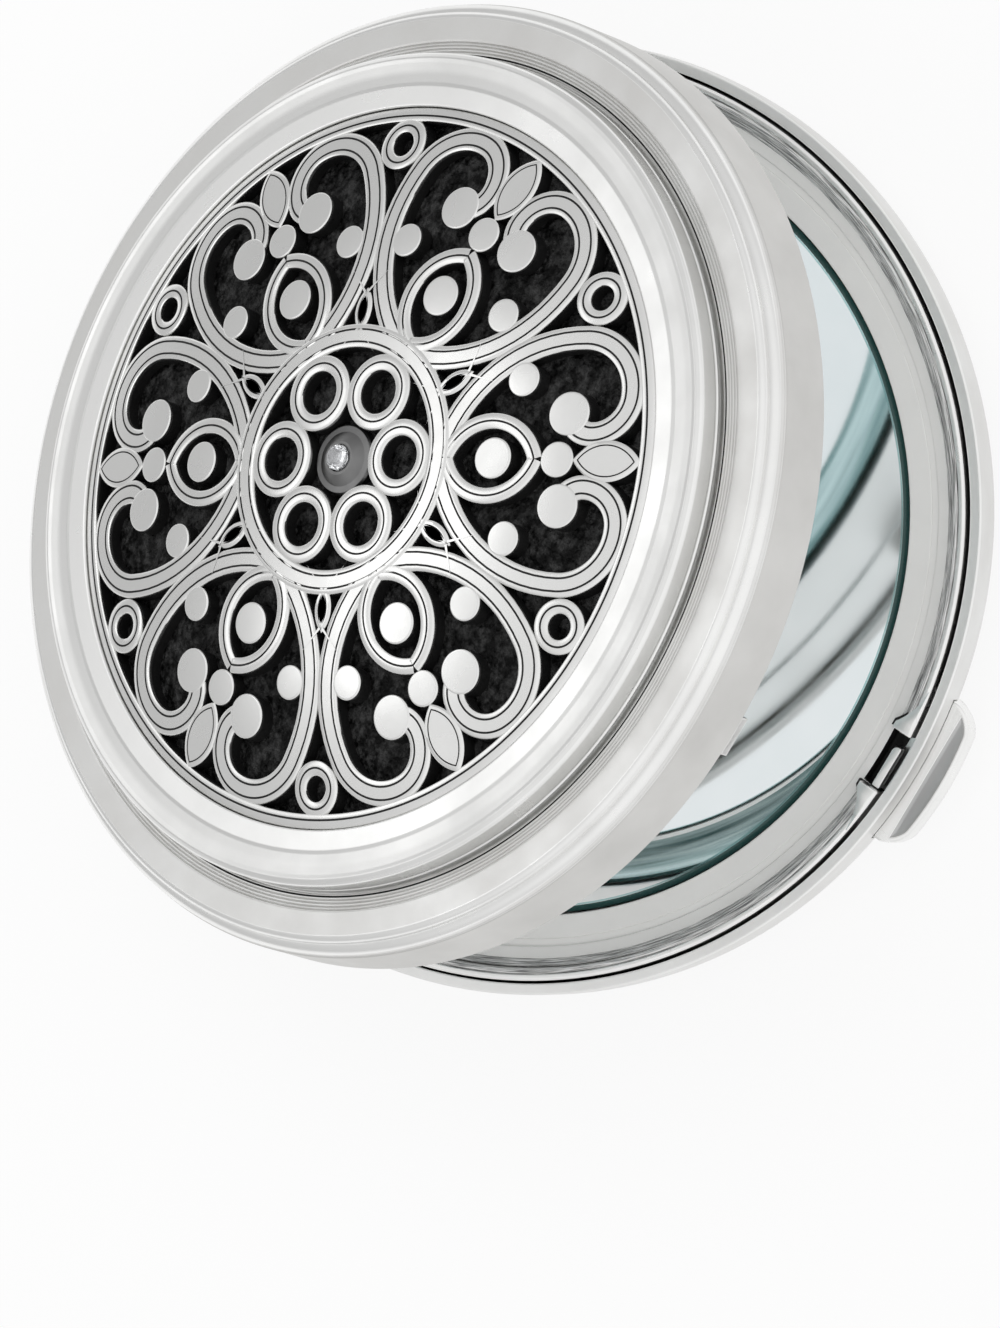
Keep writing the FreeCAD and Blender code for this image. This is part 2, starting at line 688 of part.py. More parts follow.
def make_lid_tray():
    body = new_body("lid_tray")
    seat = "(Sizes.glass_recess + Sizes.glass_thickness + Sizes.pad_thickness)"
    lip = "(Sizes.glass_recess - Sizes.tray_lip)"
    face = f"({lip} - Sizes.tray_step_height)"
    outside = f"({LID_INNER} - Sizes.tray_play)"
    corners = [
        ("0", seat),
        (TRAY_OPENING, seat),
        (TRAY_OPENING, lip),
        (tray_step_radius(outside), lip),
        (tray_step_radius(outside), face),
        (outside, face),
        (outside, f"({face} + Sizes.tray_flange)"),
        (TRAY_OUTSIDE, f"({face} + Sizes.tray_flange)"),
        (TRAY_OUTSIDE, LID_CEILING),
        (TRAY_OPENING, LID_CEILING),
        (TRAY_OPENING, f"({seat} + Sizes.tray_seat)"),
        ("0", f"({seat} + Sizes.tray_seat)"),
    ]
    turn_profile(body, "hat", corners)
    inner = f"({NOSE_OUTER} - Sizes.hook_overlap - Sizes.hook_play)"
    notch = rectangle("Sizes.slot_low", "-Sizes.case_radius", "Sizes.slot_high", f"-{inner}")
    cut_plan_upwards(body, "hook_notch", notch, "0")
    return body


def make_lid_mirror():
    body = new_body("lid_mirror")
    face = "Sizes.glass_recess"
    back = "(Sizes.glass_recess + Sizes.glass_thickness)"
    edge = f"({GLASS_RADIUS} - Sizes.glass_bevel)"
    bowl = f"(({edge} ^ 2 + Sizes.lid_glass_hollow ^ 2) / (2 * Sizes.lid_glass_hollow))"
    corners = [
        ("0", f"({face} + Sizes.lid_glass_hollow)"),
        (edge, face),
        (GLASS_RADIUS, f"({face} + Sizes.glass_bevel)"),
        (GLASS_RADIUS, back),
        ("0", back),
    ]
    turn_profile(body, "glass", corners, {0: (bowl, -1)})
    return body


def bore_for_pin(body, y, z):
    bore = new_sketch(body, "pin_bore_face", "YZ_Plane", "-Sizes.case_radius")
    draw_circle(bore, y, z, "(Sizes.pin_radius + Sizes.pin_play)")
    cut_through(body, bore, "pin_bore", backwards=True)


def hollow_for_case(body):
    """Shape a knuckle's back to the round wall that it is brazed to."""
    wall = new_sketch(body, "wall_plan", "XY_Plane", "-Sizes.case_radius")
    draw_circle(wall, "0", "0", "(Sizes.case_radius + Sizes.braze_gap)")
    cut_through(body, wall, "wall_hollow", backwards=True)


def make_base_knuckle(label, start):
    body = new_body(label)
    web = new_sketch(body, "web_section", "YZ_Plane", start)
    half = "(Sizes.knuckle_web / 2)"
    inner = "(Sizes.case_radius - Sizes.knuckle_radius)"
    draw_outline(web, rectangle(inner, f"({HINGE_Z} - {half})", HINGE_Y, f"({HINGE_Z} + {half})"))
    pad(body, web, "web", "Sizes.base_knuckle_length")
    barrel = new_sketch(body, "barrel_section", "YZ_Plane", start)
    draw_circle(barrel, HINGE_Y, HINGE_Z, "Sizes.knuckle_radius")
    pad(body, barrel, "barrel", "Sizes.base_knuckle_length")
    hollow_for_case(body)
    bore_for_pin(body, HINGE_Y, HINGE_Z)
    return body


def make_lid_knuckle():
    body = new_body("lid_knuckle")
    start = "(-Sizes.lid_knuckle_length / 2)"
    axis_z = f"({HINGE_Z} - {LID_RIM})"
    stand = "(Sizes.case_radius + Sizes.hinge_stand_off)"
    inner = "(Sizes.case_radius - Sizes.leaf_thickness)"
    leaf = new_sketch(body, "leaf_section", "YZ_Plane", start)
    corners = [
        (stand, axis_z),
        (HINGE_Y, axis_z),
        (HINGE_Y, "0"),
        (f"({stand} + Sizes.leaf_thickness / 2)", "Sizes.leaf_height"),
        (inner, "Sizes.leaf_height"),
        (inner, "Sizes.lid_gap"),
        (stand, "Sizes.lid_gap"),
    ]
    draw_outline(leaf, corners)
    pad(body, leaf, "leaf", "Sizes.lid_knuckle_length")
    barrel = new_sketch(body, "barrel_section", "YZ_Plane", start)
    draw_circle(barrel, HINGE_Y, axis_z, "Sizes.knuckle_radius")
    pad(body, barrel, "barrel", "Sizes.lid_knuckle_length")
    hollow_for_case(body)
    bore_for_pin(body, HINGE_Y, axis_z)
    return body


def hinge_half_length():
    return "(Sizes.lid_knuckle_length / 2 + Sizes.knuckle_gap + Sizes.base_knuckle_length)"


def make_hinge_pin():
    body = new_body("hinge_pin")
    section = new_sketch(body, "pin_section", "XY_Plane", HINGE_Z)
    section.setExpression("AttachmentOffset.Base.y", HINGE_Y)
    neck = f"({hinge_half_length()} + Sizes.knuckle_gap)"
    end = f"({neck} + Sizes.pin_head_length)"
    corners = [
        (f"-{end}", "0"),
        (end, "0"),
        (end, "Sizes.pin_radius"),
        (neck, "Sizes.pin_head_radius"),
        (neck, "Sizes.pin_radius"),
        (f"-{neck}", "Sizes.pin_radius"),
        (f"-{neck}", "Sizes.pin_head_radius"),
        (f"-{end}", "Sizes.pin_radius"),
    ]
    draw_outline(section, corners)
    doc.recompute()
    pin = body.newObject("PartDesign::Revolution", "pin")
    pin.Profile = section
    pin.ReferenceAxis = (section, ["H_Axis"])
    pin.Angle = 360
    doc.recompute()
    return body


def soften_tab_lip(body):
    """Chamfer the lip's two long edges."""
    corner = -value("Sizes.tab_flat")
    crown = -value("Sizes.case_radius + Sizes.tab_reach - Sizes.tab_crown")
    names = []
    for number, edge in enumerate(body.Shape.Edges, start=1):
        box = edge.BoundBox
        if abs(box.XMin - corner) < TINY and box.ZLength < TINY and box.YMax < crown + TINY:
            names.append(f"Edge{number}")
    assert len(names) == 2, "the lip has two long edges"
    tab = body.Tip
    chamfer = body.newObject("PartDesign::Chamfer", "lip_chamfer")
    chamfer.Base = (tab, names)
    chamfer.Size = value("Sizes.tab_edge_chamfer")
    chamfer.setExpression("Size", "Sizes.tab_edge_chamfer")
    doc.recompute()


def scoop_tab(body):
    """Hollow the tab's top for the thumb, inside a rim that follows the lip."""
    half_lip = "(Sizes.tab_flat - Sizes.tab_rim / 2)"
    half_root = "(Sizes.tab_half_width - Sizes.tab_rim)"
    lip = "(Sizes.tab_crown + Sizes.tab_rim - Sizes.tab_reach - Sizes.case_radius)"
    root = "-(Sizes.case_radius + Sizes.latch_play)"
    plan = [(f"-{half_lip}", lip), (half_lip, lip), (half_root, root), (f"-{half_root}", root)]
    crown = f"(({half_lip} ^ 2 + Sizes.tab_crown ^ 2) / (2 * Sizes.tab_crown))"
    corner = "(Sizes.tab_corner_radius - Sizes.tab_rim)", 1
    rounds = {0: (crown, 1), 1: corner, len(plan) - 1: corner}
    cut_plan_upwards(body, "thumb_scoop", plan, f"({TAB_TOP} - Sizes.tab_scoop)", rounds)


def make_latch_button():
    body = new_body("latch_button")
    lip = "-(Sizes.case_radius + Sizes.tab_reach)"
    wall = "-Sizes.case_radius"
    crown = "((Sizes.tab_flat ^ 2 + Sizes.tab_crown ^ 2) / (2 * Sizes.tab_crown))"
    plan = [
        ("-Sizes.tab_flat", f"({lip} + Sizes.tab_crown)"),
        ("Sizes.tab_flat", f"({lip} + Sizes.tab_crown)"),
        ("Sizes.tab_half_width", wall),
        ("Sizes.tab_half_width", f"-({TONGUE_INNER})"),
        ("Sizes.bar_half_width", f"-({TONGUE_INNER})"),
        ("Sizes.bar_half_width", f"-{BAR_END}"),
        ("-Sizes.bar_half_width", f"-{BAR_END}"),
        ("-Sizes.bar_half_width", f"-({TONGUE_INNER})"),
        ("-Sizes.tab_half_width", f"-({TONGUE_INNER})"),
        ("-Sizes.tab_half_width", wall),
    ]
    corner = "Sizes.tab_corner_radius", 1
    rounds = {0: (crown, 1), 1: corner, len(plan) - 1: corner}
    raise_outline(body, "tab", plan, TAB_FOOT, "Sizes.tab_height", rounds)
    soften_tab_lip(body)
    scoop_tab(body)
    ear_front = f"-({TONGUE_INNER} + Sizes.latch_play)"
    ear_back = f"({ear_front} + Sizes.ear_length)"
    ears = rectangle("-Sizes.ear_half_width", ear_front, "Sizes.ear_half_width", ear_back)
    raise_outline(body, "ears", ears, f"({TAB_TOP} - Sizes.ear_height)", "Sizes.ear_height")
    low = "(Sizes.slot_low + Sizes.latch_play)"
    web = rectangle(low, f"-({TONGUE_INNER} + Sizes.tongue_web)", "Sizes.tongue_high", f"-{TONGUE_INNER}")
    root = f"({TAB_TOP} - Sizes.latch_play)"
    raise_outline(body, "tongue_web", web, root, f"({TONGUE_TOP} - {root})")
    nose = rectangle(low, f"-{NOSE_OUTER}", "Sizes.tongue_high", f"-{TONGUE_INNER}")
    raise_outline(body, "tongue_nose", nose, NOSE_FOOT, "Sizes.nose_height")
    return body


def make_latch_spring():
    """A thin bow: its middle bears on the button, its ends on the wall of the tray."""
    body = new_body("latch_spring")
    half = "(Sizes.spring_span / 2)"
    crest = f"({BAR_END} - Sizes.spring_play)"
    ends = f"(sqrt({TRAY_OUTSIDE} ^ 2 - {half} ^ 2) + Sizes.spring_play + Sizes.spring_thickness)"
    rise = f"({crest} - {ends})"
    outer = f"(({half} ^ 2 + {rise} ^ 2) / (2 * {rise}))"
    corners = [
        (f"-{half}", f"-{ends}"),
        (half, f"-{ends}"),
        (half, f"(-{ends} + Sizes.spring_thickness)"),
        (f"-{half}", f"(-{ends} + Sizes.spring_thickness)"),
    ]
    middle = f"({TAB_TOP} - Sizes.tab_height / 2 - Sizes.spring_height / 2)"
    raise_outline(body, "bow", corners, middle, "Sizes.spring_height", {0: (outer, 1), 2: (outer, -1)})
    return body


def make_catch_hook():
    body = new_body("catch_hook")
    low = "(Sizes.slot_low + Sizes.latch_play + Sizes.hook_play)"
    high = "(Sizes.tongue_high - Sizes.hook_play)"
    inner = f"({NOSE_OUTER} + Sizes.hook_play)"
    outer = f"({inner} + Sizes.hook_thickness)"
    nose_top = f"({NOSE_FOOT} - Sizes.hook_play - {LID_RIM})"
    foot = f"({nose_top} - Sizes.hook_nose_height)"
    shank = rectangle(low, f"-{outer}", high, f"-{inner}")
    raise_outline(body, "shank", shank, foot, f"(Sizes.hook_root - {foot})")
    nose = rectangle(low, f"-{outer}", high, f"-({NOSE_OUTER} - Sizes.hook_overlap)")
    raise_outline(body, "nose", nose, foot, "Sizes.hook_nose_height")
    return body


base_pieces = [
    make_base_pan(),
    make_base_collar(),
    make_base_tray(),
    make_base_mirror(),
    make_pad("base_mirror_pad", PAD_FOOT),
    make_base_knuckle("base_knuckle_right", "(Sizes.lid_knuckle_length / 2 + Sizes.knuckle_gap)"),
    make_base_knuckle("base_knuckle_left", f"-{hinge_half_length()}"),
    make_hinge_pin(),
    make_latch_button(),
    make_latch_spring(),
]
lid_pieces = [
    make_lid_shell(),
    make_bezel_ring(),
    make_medallion_ground(),
    make_scrollwork(),
    make_stone_setting(),
    make_centre_stone(),
    make_lid_tray(),
    make_lid_mirror(),
    make_pad("lid_mirror_pad", "(Sizes.glass_recess + Sizes.glass_thickness)"),
    make_lid_knuckle(),
    make_catch_hook(),
]
for piece in lid_pieces:
    place_on_lid(piece)
doc.recompute()

failed = [item.Name for item in doc.Objects if "Invalid" in item.State or "Error" in item.State]
assert not failed, f"failed objects: {failed}"
os.makedirs("parts", exist_ok=True)
for piece in base_pieces + lid_pieces:
    assert not piece.Shape.isNull() and piece.Shape.isValid(), f"{piece.Label} is not a valid shape"
    piece.Shape.exportStep(f"parts/{piece.Label}.step")
    print(f"{piece.Label}: {len(piece.Shape.Solids)} solid, {piece.Shape.Volume:.1f} mm3")
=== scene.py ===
# %% [markdown]
# # A silver compact mirror
# This lesson dresses the measured frame of a round compact: two mirrors in a hinged silver case, an
# openwork medallion on the lid and a thumb tab at the front. Each piece is turned, swept or cut
# again here with the small roundings and the finish that the plain frame leaves out.
# All sizes below are in millimetres, and the frame itself is in metres.

# %% Load the frame
import math

import bmesh
import bpy
from bmesh.types import BMEdge, BMFace, BMVert
from mathutils import Matrix, Vector


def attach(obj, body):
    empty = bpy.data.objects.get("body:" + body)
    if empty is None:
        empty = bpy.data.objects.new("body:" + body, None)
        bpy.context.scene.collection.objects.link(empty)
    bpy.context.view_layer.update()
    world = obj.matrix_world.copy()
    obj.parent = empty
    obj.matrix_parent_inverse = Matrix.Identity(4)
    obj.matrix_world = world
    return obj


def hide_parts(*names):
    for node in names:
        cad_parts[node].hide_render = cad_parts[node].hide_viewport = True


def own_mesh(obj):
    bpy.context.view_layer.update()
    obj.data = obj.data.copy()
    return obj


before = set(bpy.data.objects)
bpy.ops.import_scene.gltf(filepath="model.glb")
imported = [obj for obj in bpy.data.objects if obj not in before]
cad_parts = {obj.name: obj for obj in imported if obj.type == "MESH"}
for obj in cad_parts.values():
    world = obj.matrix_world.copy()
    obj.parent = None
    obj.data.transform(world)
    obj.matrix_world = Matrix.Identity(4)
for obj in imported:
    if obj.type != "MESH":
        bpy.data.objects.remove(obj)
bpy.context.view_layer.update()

MM = 0.001
scene = bpy.context.scene

# %% [markdown]
# ## Camera
# The camera stands above the front right of the case and is rolled, so that the hinge lies at the
# upper left and the thumb tab at the lower right. A long lens keeps the rings nearly free of
# perspective, as in a catalogue picture.

# %% Camera
back = Vector((0.1902, -0.3417, 0.9204)).normalized()
right = Vector((0.8468, 0.5315, 0.0223)).cross(back).normalized()
roll = Matrix((right, back.cross(right), back)).transposed().to_4x4()

camera = bpy.data.objects.new("camera", bpy.data.cameras.new("camera"))
camera.matrix_world = Matrix.Translation(Vector((122.86, -243.16, 651.4)) * MM) @ roll
camera.data.lens = 259.5
camera.data.sensor_width = 36
camera.data.clip_start = 0.01
scene.collection.objects.link(camera)
scene.camera = camera
scene.view_settings.view_transform = "Standard"
print("camera at", [round(step / MM) for step in camera.matrix_world.translation], "mm")

# %% [markdown]
# ## Helpers for node materials
# A finish is a small network of nodes. Three helpers keep the cells short: one adds a node and sets
# its inputs, one joins two sockets, and one starts a material with its main shader.

# %% Node helpers
def add_node(tree, kind, settings=None, **inputs):
    node = tree.nodes.new(kind)
    for word, choice in (settings or {}).items():
        setattr(node, word, choice)
    for socket, given in inputs.items():
        node.inputs[socket.replace("_", " ")].default_value = given
    return node


def join(tree, source, output, target, socket):
    tree.links.new(source.outputs[output], target.inputs[socket])


def start_material(name, colour, metallic, roughness):
    material = bpy.data.materials.new(name)
    material.use_nodes = True
    shader = material.node_tree.nodes["Principled BSDF"]
    shader.inputs["Base Color"].default_value = (*colour, 1)
    shader.inputs["Metallic"].default_value = metallic
    shader.inputs["Roughness"].default_value = roughness
    return material, material.node_tree, shader


# %% [markdown]
# ## Studio
# Silver is only as good as what it reflects. The room round the case is brightest above the viewer
# and grows greyer towards the wall behind the hinge, so that the lid's flat faces turn light grey
# while its front edges find something white. A picture of a studio could do that too, but a ramp of
# greys is easy to steer and needs no file.

# %% Room
world = bpy.data.worlds.new("studio")
scene.world = world
world.use_nodes = True
tree = world.node_tree
direction = add_node(tree, "ShaderNodeTexCoord")
towards_light = add_node(tree, "ShaderNodeVectorMath", {"operation": "DOT_PRODUCT"})
towards_light.inputs[1].default_value = (0.1, -0.5, 0.86)
spread = add_node(tree, "ShaderNodeMapRange", From_Min=-1.0)
room = add_node(tree, "ShaderNodeValToRGB")
stops = room.color_ramp.elements
for place, shade in ((0.0, 0.42), (1.0, 0.96), (0.25, 0.48), (0.5, 0.6), (0.72, 0.79), (0.83, 0.93)):
    stop = stops[round(place)] if place in (0.0, 1.0) else stops.new(place)
    stop.color = (shade, shade, shade, 1)
join(tree, direction, "Generated", towards_light, 0)
join(tree, towards_light, "Value", spread, "Value")
join(tree, spread, "Result", room, "Fac")
join(tree, room, "Color", tree.nodes["Background"], "Color")
print("room of", len(stops), "greys")

# %% [markdown]
# Two soft boxes add direction: a large one overhead, and a small one close behind the hinge. Because
# that one is close, mostly the front half of the lid's flat faces reflects it, so the lid grows lighter
# towards the viewer. Mirrors would show lamps as hard white squares, so the overhead one is kept out of
# all reflections, and the other one is kept out of the base mirror further down.

# %% Soft boxes
def soft_box(name, place, target, size, power):
    light = bpy.data.lights.new(name, "AREA")
    light.shape = "RECTANGLE"
    light.size, light.size_y = size
    light.energy = power
    lamp = bpy.data.objects.new(name, light)
    lamp.location = place
    lamp.rotation_euler = (Vector(target) - Vector(place)).to_track_quat("-Z", "Y").to_euler()
    scene.collection.objects.link(lamp)
    return lamp


overhead = soft_box("overhead", (0.3, 0.25, 0.8), (0, 0, 0), (0.5, 0.5), 1.1)
overhead.visible_glossy = False
near_hinge = soft_box("near_hinge", (-0.034, 0.13, 0.13), (0, -0.02, 0.025), (0.1, 0.06), 0.015)
near_hinge.visible_camera = False
print("soft boxes", overhead.name, near_hinge.name)

# %% [markdown]
# The floor is a plain white sheet. It takes the case's own soft shadow, and part of its white is its
# own light for eyes and reflections only, so that it stays white without flooding the metal.

# %% Floor
FLOOR_GLOW = 0.85
floor_material, tree, shader = start_material("paper", (0.9, 0.9, 0.9), 0.0, 0.9)
glow = add_node(tree, "ShaderNodeEmission", Color=(1, 1, 1, 1), Strength=1.0)
seen = add_node(tree, "ShaderNodeLightPath")
either = add_node(tree, "ShaderNodeMath", {"operation": "MAXIMUM"})
any_of = add_node(tree, "ShaderNodeMath", {"operation": "MAXIMUM"})
share = add_node(tree, "ShaderNodeMath", {"operation": "MULTIPLY"})
share.inputs[1].default_value = FLOOR_GLOW
blend = add_node(tree, "ShaderNodeMixShader")
join(tree, seen, "Is Camera Ray", either, 0)
join(tree, seen, "Is Glossy Ray", either, 1)
join(tree, either, "Value", any_of, 0)
join(tree, seen, "Is Transmission Ray", any_of, 1)
join(tree, any_of, "Value", share, 0)
join(tree, share, "Value", blend, "Fac")
join(tree, shader, "BSDF", blend, 1)
join(tree, glow, "Emission", blend, 2)
join(tree, blend, "Shader", tree.nodes["Material Output"], "Surface")

bm = bmesh.new()
bmesh.ops.create_grid(bm, x_segments=1, y_segments=1, size=3.0)
mesh = bpy.data.meshes.new("floor")
bm.to_mesh(mesh)
bm.free()
mesh.materials.append(floor_material)
floor = bpy.data.objects.new("floor", mesh)
scene.collection.objects.link(floor)
print("floor of", floor_material.name)

# %% [markdown]
# ## Satin and polished silver
# The case is silver plate on brass. After plating, its turned faces are rubbed with a soft wheel,
# which leaves faint circular marks, a fine grain and a few duller patches where hands have been.
# Each piece carries its own coordinates ("own", in millimetres, from the middle of the ring that it
# belongs to), so the marks run round the ring even on the tilted lid. The shader's anisotropy could
# stand for the marks, but bump shows single ones, as on real metal.

# %% Silver finishes
def own_coordinates(tree):
    return add_node(tree, "ShaderNodeAttribute", {"attribute_name": "own"})


def noise_on(tree, source, scale, detail=3.0, roughness=0.55):
    node = add_node(tree, "ShaderNodeTexNoise", Scale=scale, Detail=detail, Roughness=roughness)
    join(tree, source, "Vector", node, "Vector")
    return node


def circular_marks(tree, own, fineness):
    """Noise that changes quickly with the radius and height, and slowly round the ring."""
    split = add_node(tree, "ShaderNodeSeparateXYZ")
    angle = add_node(tree, "ShaderNodeMath", {"operation": "ARCTAN2"})
    flat = add_node(tree, "ShaderNodeVectorMath", {"operation": "MULTIPLY"})
    flat.inputs[1].default_value = (1, 1, 0)
    radius = add_node(tree, "ShaderNodeVectorMath", {"operation": "LENGTH"})
    wound = add_node(tree, "ShaderNodeCombineXYZ")
    join(tree, own, "Vector", split, "Vector")
    join(tree, split, "Y", angle, 0)
    join(tree, split, "X", angle, 1)
    join(tree, own, "Vector", flat, "Vector")
    join(tree, flat, "Vector", radius, "Vector")
    join(tree, radius, "Value", wound, "X")
    join(tree, angle, "Value", wound, "Y")
    join(tree, split, "Z", wound, "Z")
    return noise_on(tree, wound, fineness, detail=2.0)


def shade_range(tree, source, low, high):
    """Turn a noise into a number between low and high."""
    ranged = add_node(tree, "ShaderNodeMapRange", From_Min=0.3, From_Max=0.7, To_Min=low, To_Max=high)
    join(tree, source, 0, ranged, "Value")
    return ranged


def tint_between(tree, source, low, high, start=0.3, end=0.7):
    """Turn a noise into a colour between low and high."""
    ramp = add_node(tree, "ShaderNodeValToRGB")
    for stop, place, colour in zip(ramp.color_ramp.elements, (start, end), (low, high)):
        stop.position = place
        stop.color = (*colour, 1)
    join(tree, source, 0, ramp, "Fac")
    return ramp


def raise_bump(tree, shader, layers):
    """Stack height textures, each with its own depth in millimetres."""
    below = None
    for source, depth in layers:
        bump = add_node(tree, "ShaderNodeBump", Strength=1.0, Distance=depth * MM)
        join(tree, source, 0, bump, "Height")
        if below:
            join(tree, below, "Normal", bump, "Normal")
        below = bump
    join(tree, below, "Normal", shader, "Normal")


def silver(name, dull, bright, roughness, marks, grain):
    """Silver with duller patches, and with marks and grain of the given depths in millimetres."""
    material, tree, shader = start_material(name, bright, 1.0, roughness[0])
    own = own_coordinates(tree)
    handled = noise_on(tree, own, 0.16, detail=4.0)
    tint = tint_between(tree, handled, dull, bright)
    join(tree, tint, "Color", shader, "Base Color")
    wear = shade_range(tree, handled, roughness[1], roughness[0])
    join(tree, wear, "Result", shader, "Roughness")
    rubbed = circular_marks(tree, own, 11.0)
    pits = noise_on(tree, own, 9.0, detail=2.0)
    raise_bump(tree, shader, [(rubbed, marks), (pits, grain)])
    return material


satin = silver("satin_silver", (0.73, 0.725, 0.71), (0.8, 0.8, 0.79), (0.32, 0.42), 0.0012, 0.0015)
polished = silver("polished_silver", (0.8, 0.8, 0.79), (0.87, 0.87, 0.86), (0.14, 0.2), 0.0006, 0.0004)
# The darker brushed copy goes on the lid's wall: its deeper marks are real, its darker colour is
# painted shade.
brushed_shaded = silver("brushed_shaded_silver", (0.62, 0.615, 0.6), (0.68, 0.675, 0.66), (0.4, 0.48), 0.002, 0.002)
print("silver finishes", satin.name, polished.name, brushed_shaded.name)

# %% [markdown]
# ## Turned pieces
# Nearly everything here is round, so the main tool is a lathe: a section is drawn as corners of
# (radius, height, rounding) and spun about the upright axis. The rounding replaces each sharp corner
# by a small arc, and two extra points hold the flats beside it flat when the piece is shaded smooth.
# A Screw modifier would turn a section as well; spin does it in the mesh, so points can carry marks.

# %% Lathe
HOLD = 0.04


def rounded(corners, closed=True):
    """A list of (radius, height) points, with every corner's rounding drawn as an arc."""
    points = []
    for index, (radius, height, rounding) in enumerate(corners):
        here = Vector((radius, height))
        at_end = not closed and index in (0, len(corners) - 1)
        if at_end or not rounding:
            points.append(here)
            continue
        before = (Vector(corners[index - 1][:2]) - here).normalized()
        after = (Vector(corners[(index + 1) % len(corners)][:2]) - here).normalized()
        half = before.angle(after) / 2
        centre = here + (before + after).normalized() * (rounding / math.sin(half))
        reach = rounding / math.tan(half)
        start, end = here + before * reach - centre, here + after * reach - centre
        sweep = math.atan2(start.x * end.y - start.y * end.x, start.dot(end))
        pieces = 2 if rounding < 0.1 else 5
        points.append(here + before * (reach + HOLD))
        for step in range(pieces + 1):
            points.append(centre + Matrix.Rotation(sweep * step / pieces, 2) @ start)
        points.append(here + after * (reach + HOLD))
    return points


def only(kind, parts):
    """The vertices, edges or faces in a mixed list of mesh parts."""
    return [part for part in parts if isinstance(part, kind)]


def lathe(bm, section, closed=True, centre=(0, 0, 0), start=0.0, sweep=math.tau, steps=192,
          end_paint=0):
    """Spin a section about an upright axis; an open section must begin and end on that axis."""
    blank = bmesh.new()
    painted = blank.verts.layers.int.new("painted")
    turn = Matrix.Translation(centre) @ Matrix.Rotation(start, 4, "Z")
    verts = []
    for x, z, *mark in section:
        verts.append(blank.verts.new(turn @ Vector((x, 0, z))))
        verts[-1][painted] = mark[0] if mark else 0
    edges = [blank.edges.new(pair) for pair in zip(verts, verts[1:])]
    if closed:
        edges.append(blank.edges.new((verts[-1], verts[0])))
    whole = abs(sweep - math.tau) < 1e-6
    spun = bmesh.ops.spin(blank, geom=verts + edges, cent=centre, axis=(0, 0, 1), angle=sweep,
                          steps=round(steps * sweep / math.tau), use_merge=whole)
    if not whole:
        for loop in (edges, only(BMEdge, spun["geom_last"])):
            bmesh.ops.edgeloop_fill(blank, edges=loop, mat_nr=end_paint)
    if not closed:
        bmesh.ops.remove_doubles(blank, verts=blank.verts, dist=1e-5)
    turned = bpy.data.meshes.new("turned")
    blank.to_mesh(turned)
    blank.free()
    bm.from_mesh(turned)
    bpy.data.meshes.remove(turned)


# %% [markdown]
# Lid pieces are drawn as if the lid lay flat with its rim at height nought. The lid is then lifted to
# its place above the pan and swung open about the hinge by the angle at which it rests.
# A point of a section can carry a mark. A face whose points share one mark is painted: low marks choose
# the piece's second material, and marks from SECOND_PAINT upwards choose the third, and so on.

# %% From a drawing to a piece
LID_OPEN = math.radians(19.6)
HINGE = Vector((0, 36.3, 5.0))
RIM_HEIGHT = 6.65

lid_place = (Matrix.Translation(HINGE) @ Matrix.Rotation(-LID_OPEN, 4, "X")
             @ Matrix.Translation(Vector((0, 0, RIM_HEIGHT)) - HINGE))
print(f"lid open by {math.degrees(LID_OPEN):.1f} degrees")
SECOND_PAINT = 100


def make_piece(name, bm, materials, body, nodes, sharp=40):
    """Paint marked faces, keep the drawn coordinates, place the piece and tie it to the frame."""
    bmesh.ops.recalc_face_normals(bm, faces=bm.faces)
    painted = bm.verts.layers.int.get("painted")
    for face in bm.faces if painted else ():
        marks = {vert[painted] for vert in face.verts}
        if len(marks) == 1 and 0 not in marks:
            face.material_index = 1 + marks.pop() // SECOND_PAINT
    own = bm.verts.layers.float_vector.new("own")
    for vert in bm.verts:
        vert[own] = vert.co
    if body == "lid":
        bmesh.ops.transform(bm, matrix=lid_place, verts=bm.verts)
    bmesh.ops.scale(bm, vec=(MM, MM, MM), verts=bm.verts)
    mesh = bpy.data.meshes.new(name)
    bm.to_mesh(mesh)
    bm.free()
    for material in materials:
        mesh.materials.append(material)
    mesh.shade_smooth()
    mesh.set_sharp_from_angle(angle=math.radians(sharp))
    piece = bpy.data.objects.new(name, mesh)
    scene.collection.objects.link(piece)
    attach(piece, body)
    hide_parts(*nodes)
    print(f"{name}: {len(mesh.polygons)} faces, {piece.dimensions.x / MM:.1f} mm wide")
    return piece


# %% [markdown]
# ## Lid
# The lid is a pressed cup. Its corner is not one round but two small beads with a fine step between
# them, which is why two bright lines run round it; the beads are also coloured lighter, as a painted
# highlight, and the wall below them darker, as painted shade. Beside the seat of the ring a band of
# five fine lines is turned into the shoulder, and the innermost of them is painted black as shade.
# Black fillings, the painted black of shade and the edge of the glass are plain finishes, whose gloss
# varies a little from place to place.

# %% Lid
def mottled(name, colour, scale, roughness, grain=0.0, metallic=0.0, detail=3.0, place=own_coordinates):
    """A plain finish with an uneven gloss, and with grain of the given depth in millimetres."""
    material, tree, shader = start_material(name, colour, metallic, roughness[0])
    mottle = noise_on(tree, place(tree), scale, detail)
    join(tree, shade_range(tree, mottle, *roughness), "Result", shader, "Roughness")
    if grain:
        raise_bump(tree, shader, [(mottle, grain)])
    return material
